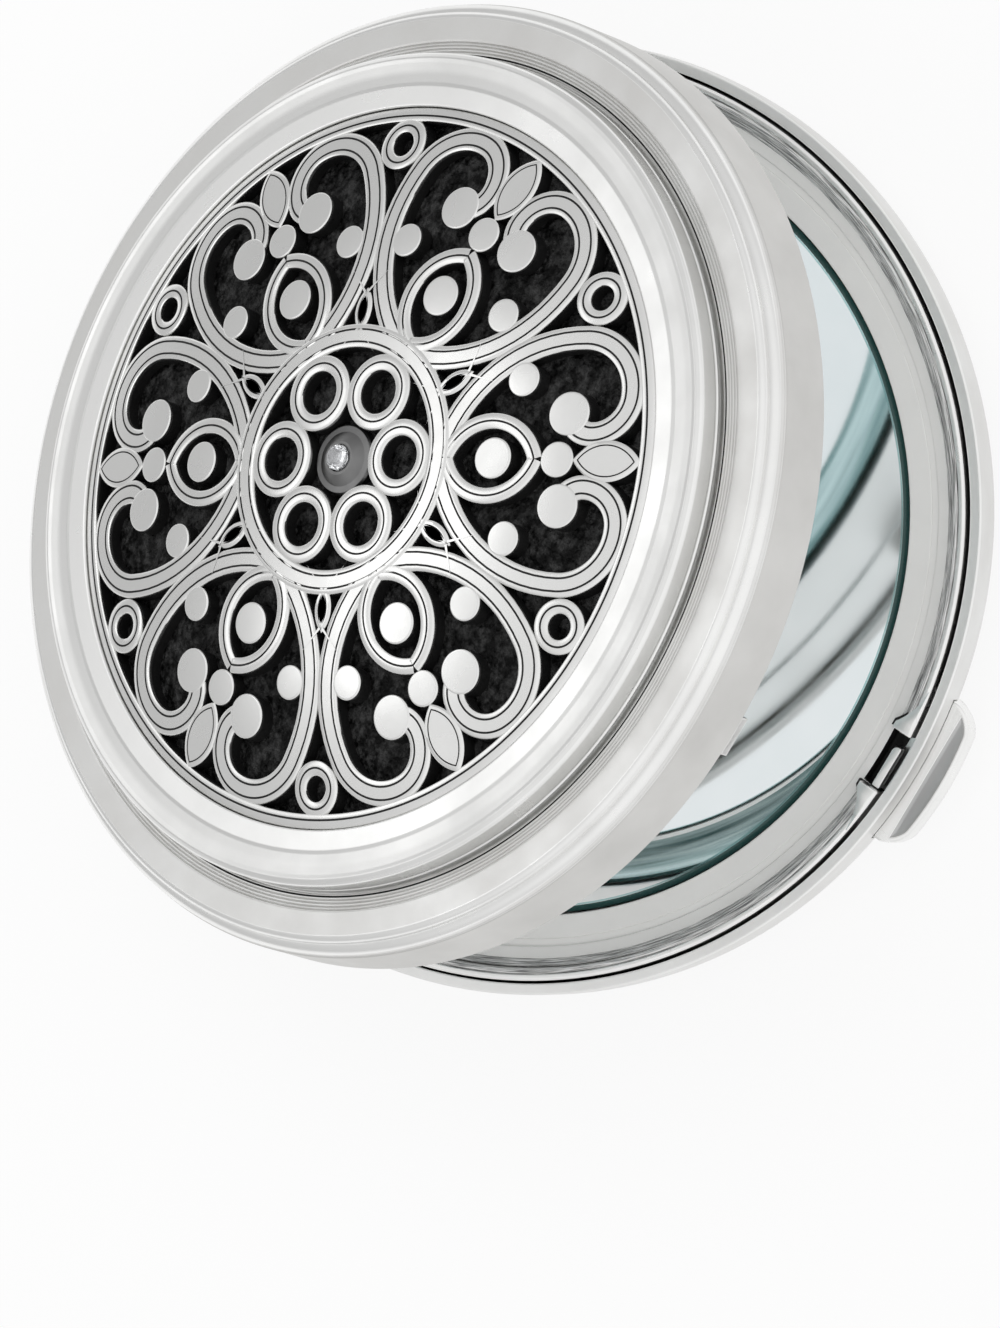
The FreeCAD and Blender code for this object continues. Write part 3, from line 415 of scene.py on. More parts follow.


# Painted shade: a flat black for gaps, slots, seams and grooves where shade falls.
painted_shade_black = mottled("painted_shade_black", (0.006, 0.006, 0.006), 4.0, (0.5, 0.75))
# A lighter polished silver; on the lid's beads and on the ring's wall and rim its extra lightness is a
# painted highlight.
polish_and_highlight_silver = silver("polish_and_highlight_silver", (0.87, 0.87, 0.86), (0.93, 0.93, 0.92), (0.25, 0.33), 0.0006,
                     0.0006)
FINE_LINES = (30.82, 31.06, 31.3, 31.55, 31.78)
lined_band = [point for line in reversed(FINE_LINES)
              for point in ((line + 0.07, 5.88, 0.02), (line, 5.77, 0.0), (line - 0.07, 5.88, 0.02))]
lid_section = [
    (34.4, 0.0, 0.1), (35.0, 0.0, 0.15), (35.0, 4.3, 0.08), (34.88, 4.4, 0.0), (34.88, 5.3, 0.72),
    (34.13, 5.3, 0.0), (34.13, 5.9, 0.48), (31.95, 5.9, 0.03), (31.9, 5.88, 0.0), *lined_band,
    (30.66, 5.88, 0.03), (30.6, 5.6, 0.0), (26.0, 5.6, 0.0), (26.0, 4.9, 0.0), (31.2, 4.9, 0.0),
    (31.2, 5.3, 0.0), (33.5, 5.3, 0.0), (34.14, 5.04, 0.0), (34.4, 4.4, 0.0),
]
# Marks: lighter beads as a painted highlight, a darker wall as painted shade, the innermost line black
# as painted shade.
HIGHLIGHT_MARK, SHADED_WALL, SHADED_LINE = 1, SECOND_PAINT, 2 * SECOND_PAINT
zones = []
for x, z in rounded(lid_section):
    on_beads = x > 33.6 and z > 4.8
    on_wall = x > 34.5 and z < 4.4
    in_shaded_line = x < 30.95 and 5.7 < z < 5.872
    zones.append((x, z, HIGHLIGHT_MARK if on_beads else SHADED_WALL if on_wall else SHADED_LINE if in_shaded_line else 0))
bm = bmesh.new()
lathe(bm, zones, steps=320)
make_piece("lid_case", bm, [satin, polish_and_highlight_silver, brushed_shaded, painted_shade_black], "lid",
           ["lid_shell"])

# %% [markdown]
# ## Ring round the medallion
# A separate ring is set on the lid, with a dark seam at its foot. Its outer edge is rounded, and the
# broad band on top is slightly hollow and satin. Its wall and the narrow flat rim that holds the
# medallion take the lighter silver of the lid's beads, as a painted highlight.

# %% Medallion ring
ring_section = [
    (26.45, 5.6, 0.0), (30.5, 5.6, 0.0), (30.5, 6.35, 0.05), (30.42, 6.45, 0.0), (30.42, 6.6, 0.05),
    (30.5, 6.7, 0.05), (30.5, 8.05, 0.35), (30.05, 8.35, 0.25), (29.7, 8.29, 0.8), (29.0, 8.24, 4.0),
    (28.2, 8.27, 0.5), (27.95, 8.34, 0.1), (26.45, 8.32, 0.12),
]
RIM_OUTER = 27.92
WALL_INNER = 30.3
ring_silver = silver("ring_silver", (0.79, 0.79, 0.78), (0.86, 0.86, 0.85), (0.3, 0.4), 0.001, 0.001)
zones = []
# Painted highlight: the rim and the wall take the lighter silver.
for x, z in rounded(ring_section):
    on_rim, on_wall = x < RIM_OUTER and z > 8.0, x > WALL_INNER and z > 5.7
    zones.append((x, z, HIGHLIGHT_MARK if on_rim or on_wall else 0))
bm = bmesh.new()
lathe(bm, zones, steps=288)
make_piece("medallion_ring", bm, [ring_silver, polish_and_highlight_silver], "lid", ["bezel_ring"])

# %% [markdown]
# ## Black ground
# Under the scrollwork lies a black dome with a fine leather grain and a few rubbed, greyer patches. It
# lies a little lower than in the frame, so that the openings of the scrollwork look deep. The grain
# is too fine for a mesh of reasonable size, so it is bump in the material.

# %% Black ground
MEDALLION = 26.4
GROUND_EDGE = 7.3
GROUND_TOP = 10.3
GROUND_DROP = 0.45
dome_radius = (MEDALLION ** 2 + (GROUND_TOP - GROUND_EDGE) ** 2) / (2 * (GROUND_TOP - GROUND_EDGE))


def dome_height(x, y):
    return GROUND_TOP - dome_radius + math.sqrt(dome_radius ** 2 - x ** 2 - y ** 2)


black, tree, shader = start_material("black_grain", (0.005, 0.005, 0.005), 0.0, 0.4)
shader.inputs["Specular IOR Level"].default_value = 0.2
own = own_coordinates(tree)
wrinkles = add_node(tree, "ShaderNodeTexVoronoi", {"feature": "SMOOTH_F1"}, Scale=2.3, Smoothness=0.35)
join(tree, own, "Vector", wrinkles, "Vector")
pores = noise_on(tree, own, 7.0)
raise_bump(tree, shader, [(wrinkles, 0.42), (pores, 0.14)])
rubbed = noise_on(tree, own, 0.9, detail=6.0, roughness=0.7)
patches = tint_between(tree, rubbed, (0.001, 0.001, 0.001), (0.06, 0.06, 0.06), 0.45, 0.68)
join(tree, patches, "Color", shader, "Base Color")
dull = shade_range(tree, pores, 0.34, 0.55)
join(tree, dull, "Result", shader, "Roughness")

rings = 24
spots = [MEDALLION * step / rings for step in range(rings + 1)]
arch = [(spot, dome_height(spot, 0) - GROUND_DROP) for spot in spots]
bm = bmesh.new()
lathe(bm, [(0, 5.6), (MEDALLION, 5.6), *reversed(arch)], closed=False, steps=180)
make_piece("medallion_ground_dome", bm, [black], "lid", ["medallion_ground"])

# %% [markdown]
# ## Scrollwork: the bands
# The openwork is one sawn and engraved plate, and its bands are laid out with compasses: arcs that
# follow on from each other without a corner. A band's section has rounded edges and two engraved
# lines filled with black, and its lower walls are blackened too. The section is swept by spinning it
# about one arc's centre after another; a bevelled curve would follow the arcs too, but could not
# paint the lines.

# %% Bands
FOOT = 0.02 - GROUND_DROP
OXIDE = SECOND_PAINT - 10
OXIDE_DEPTH = 0.3
LINE = 0.075
CUT = 0.07


def engraved(place, top, mark):
    """One engraved line across a section: four points, marked so that its faces are painted."""
    offsets = (-LINE, top), (-LINE / 2, top - CUT), (LINE / 2, top - CUT), (LINE, top)
    return [(place + across, height, mark) for across, height in offsets]


def band_section(width, top, lines):
    """A band's section from its left foot over the top to its right foot."""
    edge = width / 2
    left = [(-edge, FOOT, OXIDE), (-edge, top - OXIDE_DEPTH, OXIDE), (-edge, top - 0.16, 0),
            (-edge + 0.05, top - 0.05, 0), (-edge + 0.15, top, 0)]
    across = [point for mark, place in enumerate(lines, 1) for point in engraved(place, top, mark)]
    return left + across + [(-x, z, mark) for x, z, mark in reversed(left)]


def sweep_band(bm, section, place, heading, arcs):
    """Sweep a section along arcs of (radius, turn to the right); gives the place where it ends."""
    painted = bm.verts.layers.int.get("painted") or bm.verts.layers.int.new("painted")
    place = Vector(place)
    left = Vector((-math.sin(heading), math.cos(heading), 0))
    verts = []
    for across, height, mark in section:
        verts.append(bm.verts.new(place + left * across + Vector((0, 0, height))))
        verts[-1][painted] = mark
    edges = [bm.edges.new(pair) for pair in zip(verts, verts[1:] + verts[:1])]
    bmesh.ops.edgeloop_fill(bm, edges=edges)
    geometry = verts + edges
    for radius, turn in arcs:
        left = Vector((-math.sin(heading), math.cos(heading), 0))
        centre = place - left * radius
        spun = bmesh.ops.spin(bm, geom=geometry, cent=centre, axis=(0, 0, 1), angle=-turn,
                              steps=max(6, round(math.degrees(turn) / 5)))
        geometry = spun["geom_last"]
        place = centre + Matrix.Rotation(-turn, 3, "Z") @ (left * radius)
        heading -= turn
    bmesh.ops.edgeloop_fill(bm, edges=only(BMEdge, geometry))
    return place


# %% [markdown]
# Every motif is drawn once, beside the +X axis, then mirrored if need be, repeated six times round the
# middle, and laid over the dome by lifting each point to the dome's height below it. The four pieces
# that make up the plate share one silver and the black of the engraving.

# %% Repeats on the dome
REPEATS = 6


def mirror_across(bm):
    copy = bmesh.ops.duplicate(bm, geom=bm.verts[:] + bm.edges[:] + bm.faces[:])["geom"]
    bmesh.ops.scale(bm, vec=(1, -1, 1), verts=only(BMVert, copy))


def repeat_round(bm):
    step = math.tau / REPEATS
    bmesh.ops.spin(bm, geom=bm.verts[:] + bm.edges[:] + bm.faces[:], cent=(0, 0, 0), axis=(0, 0, 1),
                   angle=math.tau - step, steps=REPEATS - 1, use_duplicate=True)


scroll_silver = silver("scroll_silver", (0.8, 0.8, 0.79), (0.88, 0.88, 0.87), (0.22, 0.32), 0.0, 0.002)
engraving = mottled("engraving_black", (0.008, 0.008, 0.008), 6.0, (0.35, 0.65), grain=0.02)
print("plate finishes", scroll_silver.name, engraving.name)


def lay_on_dome(name, bm):
    for vert in bm.verts:
        vert.co.z += dome_height(vert.co.x, vert.co.y)
    make_piece(name, bm, [scroll_silver, engraving], "lid", ["medallion_scrollwork"])


# %% [markdown]
# Six hearts stand round an inner ring. Each side of a heart is a long arc that rolls up into a volute
# and ends under a round boss. The long arc's radius follows from where the volute's back must meet
# the border, a little way into it.

# %% Hearts
BAND = 1.8
BAND_LINES = (-0.46, 0.46)
OVERLAP = 0.25
INNER_RING = 9.0
BORDER = 25.3
HEART_ANGLE = math.radians(78)
VOLUTE = 4.15
SHRINK = 0.68

along, across = math.sin(HEART_ANGLE), 1 - math.cos(HEART_ANGLE)
reach = BORDER + OVERLAP - BAND / 2 - VOLUTE
square = along ** 2 + across ** 2
half_linear = along * INNER_RING - across * VOLUTE
constant = INNER_RING ** 2 + VOLUTE ** 2 - reach ** 2
heart_side = (math.sqrt(half_linear ** 2 - square * constant) - half_linear) / square
print(f"heart side radius {heart_side:.2f} mm")

heart_arcs = [(heart_side, HEART_ANGLE), (VOLUTE, math.radians(90)),
              (VOLUTE * SHRINK, math.radians(90)), (VOLUTE * SHRINK ** 2, math.radians(75))]
bm = bmesh.new()
eye = sweep_band(bm, band_section(BAND, 0.80, BAND_LINES), (INNER_RING, 0, 0), HEART_ANGLE, heart_arcs)
mirror_across(bm)
repeat_round(bm)
lay_on_dome("scroll_hearts", bm)

# %% [markdown]
# Rings come off the lathe: the inner ring that the hearts spring from, the border, a small ring between
# two hearts, and six petal rings round the stone.

# %% Rings
def ring_section_at(radius, width, top, lines):
    return [(radius + x, z, mark) for x, z, mark in band_section(width, top, lines)]


bm = bmesh.new()
lathe(bm, ring_section_at(2.2, 1.25, 0.83, (0.0,)), centre=(5.525, 0, 0), steps=56)
spandrel = Matrix.Rotation(math.pi / REPEATS, 3, "Z") @ Vector((23.55, 0, 0))
lathe(bm, ring_section_at(1.45, 1.1, 0.83, (0.0,)), centre=spandrel, steps=48)
repeat_round(bm)
lathe(bm, ring_section_at(INNER_RING, BAND, 0.85, BAND_LINES), steps=160)
lathe(bm, ring_section_at(25.85, 1.1, 0.85, (-0.1,)), steps=240)
lay_on_dome("scroll_rings", bm)

# %% [markdown]
# Leaves fill the gaps. A palmette is a leaf drawn as an outline, so it is swept like the hearts. The
# solid leaves are cut from an outline of two arcs, given blackened walls, and inset four times: rounded
# edge, rim, and the two sides of an engraved line.

# %% Leaves
def leaf_arc(root, tip, width):
    """Radius and turn of the arc from root to tip that swells to half the width."""
    length = tip - root
    radius = ((length / 2) ** 2 + (width / 2) ** 2) / width
    return radius, 4 * math.atan(width / length)


LEAF_STEPS = 20
LEAF_EDGE = 0.1


def solid_leaf(bm, root, tip, width, top, angle=0.0):
    radius, turn = leaf_arc(root, tip, width)
    points = []
    for side in (1, -1):
        for step in range(LEAF_STEPS):
            swing = turn / 2 - turn * step / LEAF_STEPS
            x = (root + tip) / 2 - side * radius * math.sin(swing)
            y = side * (radius * math.cos(swing) - radius + width / 2)
            points.append(Matrix.Rotation(angle, 3, "Z") @ Vector((x, y, top - LEAF_EDGE)))
    face = bm.faces.new([bm.verts.new(point) for point in points])
    face.normal_update()
    if face.normal.z < 0:
        face.normal_flip()
    skirt = bmesh.ops.extrude_edge_only(bm, edges=face.edges[:])["geom"]
    for wall in only(BMFace, skirt):
        wall.material_index = 1
    low = only(BMVert, skirt)
    bmesh.ops.translate(bm, vec=(0, 0, FOOT - top + LEAF_EDGE), verts=low)
    bmesh.ops.edgeloop_fill(bm, edges=[edge for edge in only(BMEdge, skirt)
                                       if all(vert in low for vert in edge.verts)])
    for inset, rise, paint in ((0.12, LEAF_EDGE, 0), (0.2, 0.0, 0), (0.05, -CUT, 1), (0.05, CUT, 1)):
        rim = bmesh.ops.inset_region(bm, faces=[face], thickness=inset, depth=rise,
                                     use_even_offset=True)
        for side in rim["faces"]:
            side.material_index = paint


bm = bmesh.new()
PALMETTE_ROOT = 9.6
palmette = leaf_arc(PALMETTE_ROOT, 17.1, 5.4)
sweep_band(bm, band_section(1.2, 0.82, (0.0,)), (PALMETTE_ROOT, 0, 0), palmette[1] / 2, [palmette])
mirror_across(bm)
solid_leaf(bm, 20.2, 25.5, 3.0, 0.87)
solid_leaf(bm, 9.2, 12.6, 1.5, 0.82, math.pi / REPEATS)
repeat_round(bm)
lay_on_dome("scroll_leaves", bm)

# %% [markdown]
# Plain round bosses end each volute, bud from each heart's side and mark each palmette's middle and
# tip. They are the highest points of the plate and a little rounded, so each carries one soft
# highlight.

# %% Bosses
BUD = 1.25
BUD_TURN = math.radians(48)


def add_boss(bm, centre, radius, top):
    outline = [(0, FOOT, 0), (radius, FOOT, 0), (radius, top - OXIDE_DEPTH, 0),
               (radius, top - 0.03, 0.12), (0, top, 0)]
    section = [(x, z, OXIDE if x and z < top - OXIDE_DEPTH + 0.01 else 0)
               for x, z in rounded(outline, closed=False)]
    lathe(bm, section, closed=False, centre=centre, steps=48)


heart_centre = Vector((INNER_RING + heart_side * math.sin(HEART_ANGLE),
                       -heart_side * math.cos(HEART_ANGLE), 0))
spoke = HEART_ANGLE + math.radians(90) - BUD_TURN
bud_reach = heart_side - BAND / 2 + OVERLAP - BUD
bud = heart_centre + Vector((math.cos(spoke), math.sin(spoke), 0)) * bud_reach
bm = bmesh.new()
add_boss(bm, eye, 1.6, 0.89)
add_boss(bm, bud, BUD, 0.87)
mirror_across(bm)
add_boss(bm, (13.7, 0, 0), 1.5, 0.89)
add_boss(bm, (18.95, 0, 0), 1.3, 0.89)
repeat_round(bm)
lay_on_dome("scroll_bosses", bm)

# %% [markdown]
# ## Stone and setting
# In the middle a dark cup holds a small clear crystal. The crystal is cut with flat faces, so it is
# built from cones with few sides and keeps its edges sharp.

# %% Stone and setting
dark_silver = silver("dark_silver", (0.14, 0.14, 0.14), (0.27, 0.27, 0.27), (0.25, 0.4), 0.001, 0.002)
SETTING_FOOT = GROUND_TOP + 0.02
cup = [(0, SETTING_FOOT - GROUND_DROP, 0), (2.6, SETTING_FOOT - GROUND_DROP, 0),
       (2.6, SETTING_FOOT, 0.03), (2.45, SETTING_FOOT + 0.2, 0.05), (2.0, SETTING_FOOT + 0.25, 0.05),
       (1.25, 11.07, 0.06), (0.98, 11.07, 0.05), (0.98, 10.62, 0), (0, 10.62, 0)]
bm = bmesh.new()
lathe(bm, rounded(cup, closed=False), closed=False, steps=72)
make_piece("stone_cup", bm, [dark_silver], "lid", ["stone_setting"])

crystal = mottled("crystal", (0.97, 0.98, 1.0), 5.0, (0.01, 0.05))
shader = crystal.node_tree.nodes["Principled BSDF"]
shader.inputs["Transmission Weight"].default_value = 0.85
shader.inputs["IOR"].default_value = 1.6
cut = [(0, 10.64), (0.45, 10.64), (0.95, 11.08), (0.95, 11.3), (0.72, 11.52), (0.46, 11.66), (0, 11.66)]
bm = bmesh.new()
lathe(bm, cut, closed=False, steps=10)
make_piece("crystal", bm, [crystal], "lid", ["centre_stone"], sharp=5)

# %% [markdown]
# ## Mirrors
# A mirror is silvered at the back, and its glass is slightly green, which shows most at the edge. One
# reflection hardly shows the green; many reflections between two mirrors do. Light is followed through
# more of them than usual, or the space between the mirrors would turn black.

# %% Base mirror
scene.cycles.max_bounces = 24
scene.cycles.glossy_bounces = 16


def silvered_glass(name, dull, bright, haze):
    material, tree, shader = start_material(name, bright, 1.0, haze)
    smears = noise_on(tree, own_coordinates(tree), 0.25, detail=5.0)
    join(tree, shade_range(tree, smears, haze * 0.5, haze), "Result", shader, "Roughness")
    join(tree, tint_between(tree, smears, dull, bright), "Color", shader, "Base Color")
    return material


GLASS_TINTS = (0.91, 0.93, 0.935), (0.93, 0.945, 0.95)
mirror = silvered_glass("mirror", *GLASS_TINTS, 0.02)
glass_edge = mottled("glass_edge", (0.02, 0.07, 0.065), 8.0, (0.1, 0.3), grain=0.01)
EDGE_LINE = SECOND_PAINT
base_glass = [(0, 3.3), (29.0, 3.3, 1), (29.0, 5.0, 1), (28.95, 5.06, 1), (28.6, 5.3, 1),
              (28.59, 5.3, EDGE_LINE), (28.45, 5.3, EDGE_LINE), (28.44, 5.3), (0, 5.3)]
edge_line = silvered_glass("edge_line", (0.42, 0.62, 0.62), (0.52, 0.7, 0.7), 0.1)
bm = bmesh.new()
lathe(bm, base_glass, closed=False)
glass = make_piece("base_glass", bm, [mirror, glass_edge, edge_line], "base",
                   ["base_mirror"], sharp=25)

# %% [markdown]
# The lamp near the hinge is linked to a collection that leaves the base mirror out, so that the open
# compact does not show the lamp's square.

# %% Lamp and base mirror
left_out = bpy.data.collections.new("left_out_by_near_hinge")
left_out.objects.link(glass)
left_out.collection_objects[0].light_linking.link_state = "EXCLUDE"
near_hinge.light_linking.receiver_collection = left_out
print(near_hinge.name, "leaves out", glass.name)

# %% [markdown]
# The lid's mirror magnifies: its face is a very shallow bowl, drawn as an arc in the section. A ground
# bevel runs round its edge, where the green of the glass is strongest.

# %% Lid mirror
HOLLOW = 1.3
FACE = 1.2
BEVEL = SECOND_PAINT
BEVEL_INNER, BEVEL_OUTER = 26.2, 28.7
BOWL_STEPS = 24
bowl_radius = (BEVEL_OUTER ** 2 + HOLLOW ** 2) / (2 * HOLLOW)
bowl = []
for step in range(BOWL_STEPS + 1):
    x = BEVEL_INNER * step / BOWL_STEPS
    bowl.append((x, FACE + HOLLOW - bowl_radius + math.sqrt(bowl_radius ** 2 - x ** 2)))
bowl_rim = bowl[-1][1]
lid_mirror = silvered_glass("lid_mirror", *GLASS_TINTS, 0.04)
bevel_glass, tree, shader = start_material("bevel_glass", (0.4, 0.6, 0.6), 1.0, 0.12)
depth = circular_marks(tree, own_coordinates(tree), 1.6)
tint = tint_between(tree, depth, (0.09, 0.21, 0.21), (0.7, 0.85, 0.86))
join(tree, tint, "Color", shader, "Base Color")
join(tree, shade_range(tree, depth, 0.06, 0.2), "Result", shader, "Roughness")
bm = bmesh.new()
lathe(bm, [*bowl, (BEVEL_INNER + 0.01, bowl_rim, BEVEL), (BEVEL_OUTER, 1.45, BEVEL),
           (BEVEL_OUTER + 0.01, 1.46, 1), (29.0, 1.6, 1), (29.0, 3.2, 1), (0, 3.2)], closed=False)
make_piece("lid_glass", bm, [lid_mirror, glass_edge, bevel_glass], "lid",
           ["lid_mirror"], sharp=25)

# %% [markdown]
# ## Pan
# The pan is the lower cup. Its inside wall is painted black as shade, so that the gap behind the rim
# reads as a deep black line, and the rim's top is a lighter copy of the satin, as painted light.
# Outside, rim and inside are one section, so the sheet has its real thickness without a Solidify
# modifier.

# %% Pan
FLAT = 30.5
CORNER = 4.5
SHEET = 0.65


def corner_points(radius, angles):
    """Points on the pan's round corner, at angles in degrees from straight down."""
    turns = [math.radians(angle) for angle in angles]
    return [(FLAT + radius * math.sin(turn), CORNER - radius * math.cos(turn)) for turn in turns]


pan_outside = [(0, 0), (FLAT, 0), *corner_points(CORNER, range(10, 90, 10))]
# Mark 1 paints the inside of the pan black, as painted shade.
pan_inside = [(x, z, 1) for x, z in corner_points(CORNER - SHEET, range(80, 0, -10))]
rim = rounded([(35.0, 4.5, 0), (35.0, 6.5, 0.12), (34.15, 6.5, 0.08), (34.15, 6.0, 0), (34.35, 5.9, 0),
               (34.35, 4.5, 0)], closed=False)
low_rim = []
# Painted shade on the inside wall below the rim; painted light on the rim's top.
for x, z in rim:
    low_rim.append((x, z, 1 if x < 34.36 and z < 6.4 else SECOND_PAINT if z > 6.37 else 0))
bm = bmesh.new()
lathe(bm, pan_outside + low_rim + pan_inside + [(FLAT, SHEET, 1), (0, SHEET, 1)], closed=False)
print("pan before its window", len(bm.faces), "faces")

# %% [markdown]
# The window for the thumb tab is cut at the front: four cuts outline it, the faces inside are taken
# out, and the two openings are bridged to give the wall its thickness. A boolean could cut it in one
# step, but leaves long thin faces that shade badly.

# %% Window for the tab
WINDOW_HALF, WINDOW_LOW, WINDOW_HIGH = 5.9, 2.1, 4.7
FRONT = -32


def front_faces(bm):
    return [face for face in bm.faces if face.calc_center_median().y < FRONT]


for plane, normal in (((WINDOW_HALF, 0, 0), (1, 0, 0)), ((-WINDOW_HALF, 0, 0), (1, 0, 0)),
                      ((0, 0, WINDOW_LOW), (0, 0, 1)), ((0, 0, WINDOW_HIGH), (0, 0, 1))):
    around = dict.fromkeys(part for face in front_faces(bm)
                           for part in (face, *face.edges, *face.verts))
    bmesh.ops.bisect_plane(bm, geom=list(around), dist=1e-5, plane_co=plane, plane_no=normal)
window = []
for face in front_faces(bm):
    centre = face.calc_center_median()
    if abs(centre.x) < WINDOW_HALF and WINDOW_LOW < centre.z < WINDOW_HIGH:
        window.append(face)
bmesh.ops.delete(bm, geom=window, context="FACES")
bmesh.ops.bridge_loops(bm, edges=[edge for edge in bm.edges if edge.is_boundary])
# A lighter copy of the satin; on the pan's rim top it is painted light.
bright_satin = silver("bright_satin", (0.87, 0.87, 0.86), (0.92, 0.92, 0.91), (0.3, 0.4), 0.001, 0.001)
make_piece("pan", bm, [satin, painted_shade_black, bright_satin], "base", ["base_pan"],
           sharp=30)

# %% [markdown]
# ## Collar and fairings
# A bright collar stands inside the pan and is left open where the catch works. A groove divides it, and
# its inner half is grained: brushed round the ring, with black left in the deeper scratches.

# %% Collar
SLOT_LOW, SLOT_HIGH = -2.4, 2.2
COLLAR_MIDDLE = 33.45
gap_start = -math.pi / 2 + math.asin(SLOT_HIGH / COLLAR_MIDDLE)
gap = math.asin(SLOT_HIGH / COLLAR_MIDDLE) - math.asin(SLOT_LOW / COLLAR_MIDDLE)
COLLAR_FOOT = 5.3
collar = [(33.0, COLLAR_FOOT, 0), (33.95, COLLAR_FOOT, 0), (33.95, 7.1, 0.2), (33.52, 7.1, 0.04),
          (COLLAR_MIDDLE, 6.95, 0.0), (33.38, 7.1, 0.04), (33.0, 7.1, 0.2)]
GRAINED = SECOND_PAINT
grained, tree, shader = start_material("grained_silver", (0.6, 0.6, 0.59), 0.5, 0.45)
grit = circular_marks(tree, own_coordinates(tree), 14.0)
tint = tint_between(tree, grit, (0.2, 0.2, 0.2), (0.92, 0.92, 0.91), 0.34, 0.62)
join(tree, tint, "Color", shader, "Base Color")
join(tree, shade_range(tree, grit, 0.35, 0.55), "Result", shader, "Roughness")
raise_bump(tree, shader, [(grit, 0.03)])
bm = bmesh.new()
zones = [(x, z, GRAINED if x < 33.5 and z > 6.0 else 0) for x, z in rounded(collar)]
lathe(bm, zones, start=gap_start, sweep=math.tau - gap)
print("collar without fairings", len(bm.faces), "faces")

# %% [markdown]
# On either side of the slot a small flared fairing runs out of the collar. Its plan is an arc that
# leaves the collar almost along it and turns in towards the slot. A lower block under each fairing
# stands out a little on its curved side and is painted black, as the shade of a seam there.

# %% Fairings
def flare_points(root, tip, radius, count=14):
    """Points on the lesser arc from root to tip with its centre on the mirror's side."""
    chord = tip - root
    left = Vector((-chord.y, chord.x)).normalized()
    if left.y < 0:
        left = -left
    centre = (root + tip) / 2 + left * math.sqrt(radius ** 2 - (chord.length / 2) ** 2)
    start, end = root - centre, tip - centre
    swing = math.atan2(start.x * end.y - start.y * end.x, start.dot(end))
    return [centre + Matrix.Rotation(swing * step / count, 2) @ start for step in range(count + 1)]


def round_edges(bm, edges, offset, segments=3):
    bmesh.ops.bevel(bm, geom=edges, offset=offset, offset_type="OFFSET", segments=segments, profile=0.5,
                    affect="EDGES", material=-1)


def raise_plan(bm, plan, foot, top, round_by, paint=0):
    """Raise a flat outline to a block and round its upper edges."""
    face = bm.faces.new([bm.verts.new((point.x, point.y, foot)) for point in plan])
    face.material_index = paint
    raised = bmesh.ops.extrude_face_region(bm, geom=[face])["geom"]
    bmesh.ops.translate(bm, vec=(0, 0, top - foot), verts=only(BMVert, raised))
    if round_by:
        round_edges(bm, only(BMEdge, raised), round_by)


FLARE_START, FLARE_END = 32.3, 33.8
FLARE_LENGTH, FLARE_RADIUS = 3.8, 4.75


def fairing(side, slot, seam=0.0):
    start = -FLARE_START + seam
    tip_x = slot + side * (FLARE_LENGTH + 2 * seam)
    tip = Vector((tip_x, -math.sqrt(FLARE_END ** 2 - tip_x ** 2)))
    curve = flare_points(Vector((slot + side * 0.5, start)), tip, FLARE_RADIUS + seam)
    return [Vector((slot, start)), *curve, Vector((slot, -FLARE_END))]


for side, slot in ((1, SLOT_HIGH), (-1, SLOT_LOW)):
    raise_plan(bm, fairing(side, slot), COLLAR_FOOT, 7.13, 0.12)
    # The lower black block is painted shade: it draws a dark seam round the fairing.
    raise_plan(bm, fairing(side, slot, seam=0.4), COLLAR_FOOT, 6.25, 0.0, paint=1)
make_piece("collar", bm, [polish_and_highlight_silver, painted_shade_black, grained], "base",
           ["base_collar"])

# %% [markdown]
# ## Frame round the mirror
# The frame steps down from the collar to the glass. The sloping shelf carries a grained band with fine
# turned lines and is open at the catch slot; the flat lip runs right round. Both are closed rings that
# meet at a line. The frame is lacquered over the silver, and its colour is lightened as painted light,
# so that it stays pale even in the lid's shade; the walls of the seam and of the slot are painted black
# as shade.

# %% Mirror frame
# The lacquer's colour is lightened as painted light, against the lid's shade.
lacquered_lightened, tree, shader = start_material("lacquered_silver_painted_light", (0.95, 0.945, 0.925), 0.05, 0.36)
own = own_coordinates(tree)
turned_lines = circular_marks(tree, own, 9.0)
dust = noise_on(tree, own, 0.3, detail=4.0)
tint = tint_between(tree, dust, (0.93, 0.925, 0.905), (0.97, 0.965, 0.945))
join(tree, tint, "Color", shader, "Base Color")
join(tree, shade_range(tree, dust, 0.45, 0.36), "Result", shader, "Roughness")
raise_bump(tree, shader, [(turned_lines, 0.004)])

SHELF_INNER, SHELF_OUTER = 32.2, 32.9
lip = [(29.15, 2.4, 0), (29.75, 2.4, 0), (29.75, 4.8, 0), (SHELF_INNER, 4.8, 0), (SHELF_INNER, 5.93, 0),
       (31.48, 5.77, 0.08), (31.4, 5.5, 0.06), (30.9, 5.5, 0.02), (30.86, 5.46, 0), (30.82, 5.5, 0.02),
       (29.15, 5.5, 0.12)]
shelf = [(SHELF_INNER, 4.8, 0), (33.9, 4.8, 0), (33.9, COLLAR_FOOT, 0), (SHELF_OUTER, COLLAR_FOOT, 0),
         (SHELF_OUTER, 6.1, 0.06), (32.62, 6.04, 0.02), (32.57, 5.97, 0), (32.52, 6.01, 0.02),
         (32.4, 5.98, 0.02), (32.36, 5.92, 0), (32.32, 5.96, 0.02), (SHELF_INNER, 5.93, 0)]


def mark_shade_and_grain(points, walls):
    """Mark the points on one of the upright walls, which are painted black as shade, or on the grained
    band beside the collar.
    """
    marked = []
    for x, z in points:
        on_wall = any(abs(x - wall) < 0.005 for wall in walls)
        marked.append((x, z, 1 if on_wall else GRAINED if 32.28 < x < 32.88 and z > 5.85 else 0))
    return marked


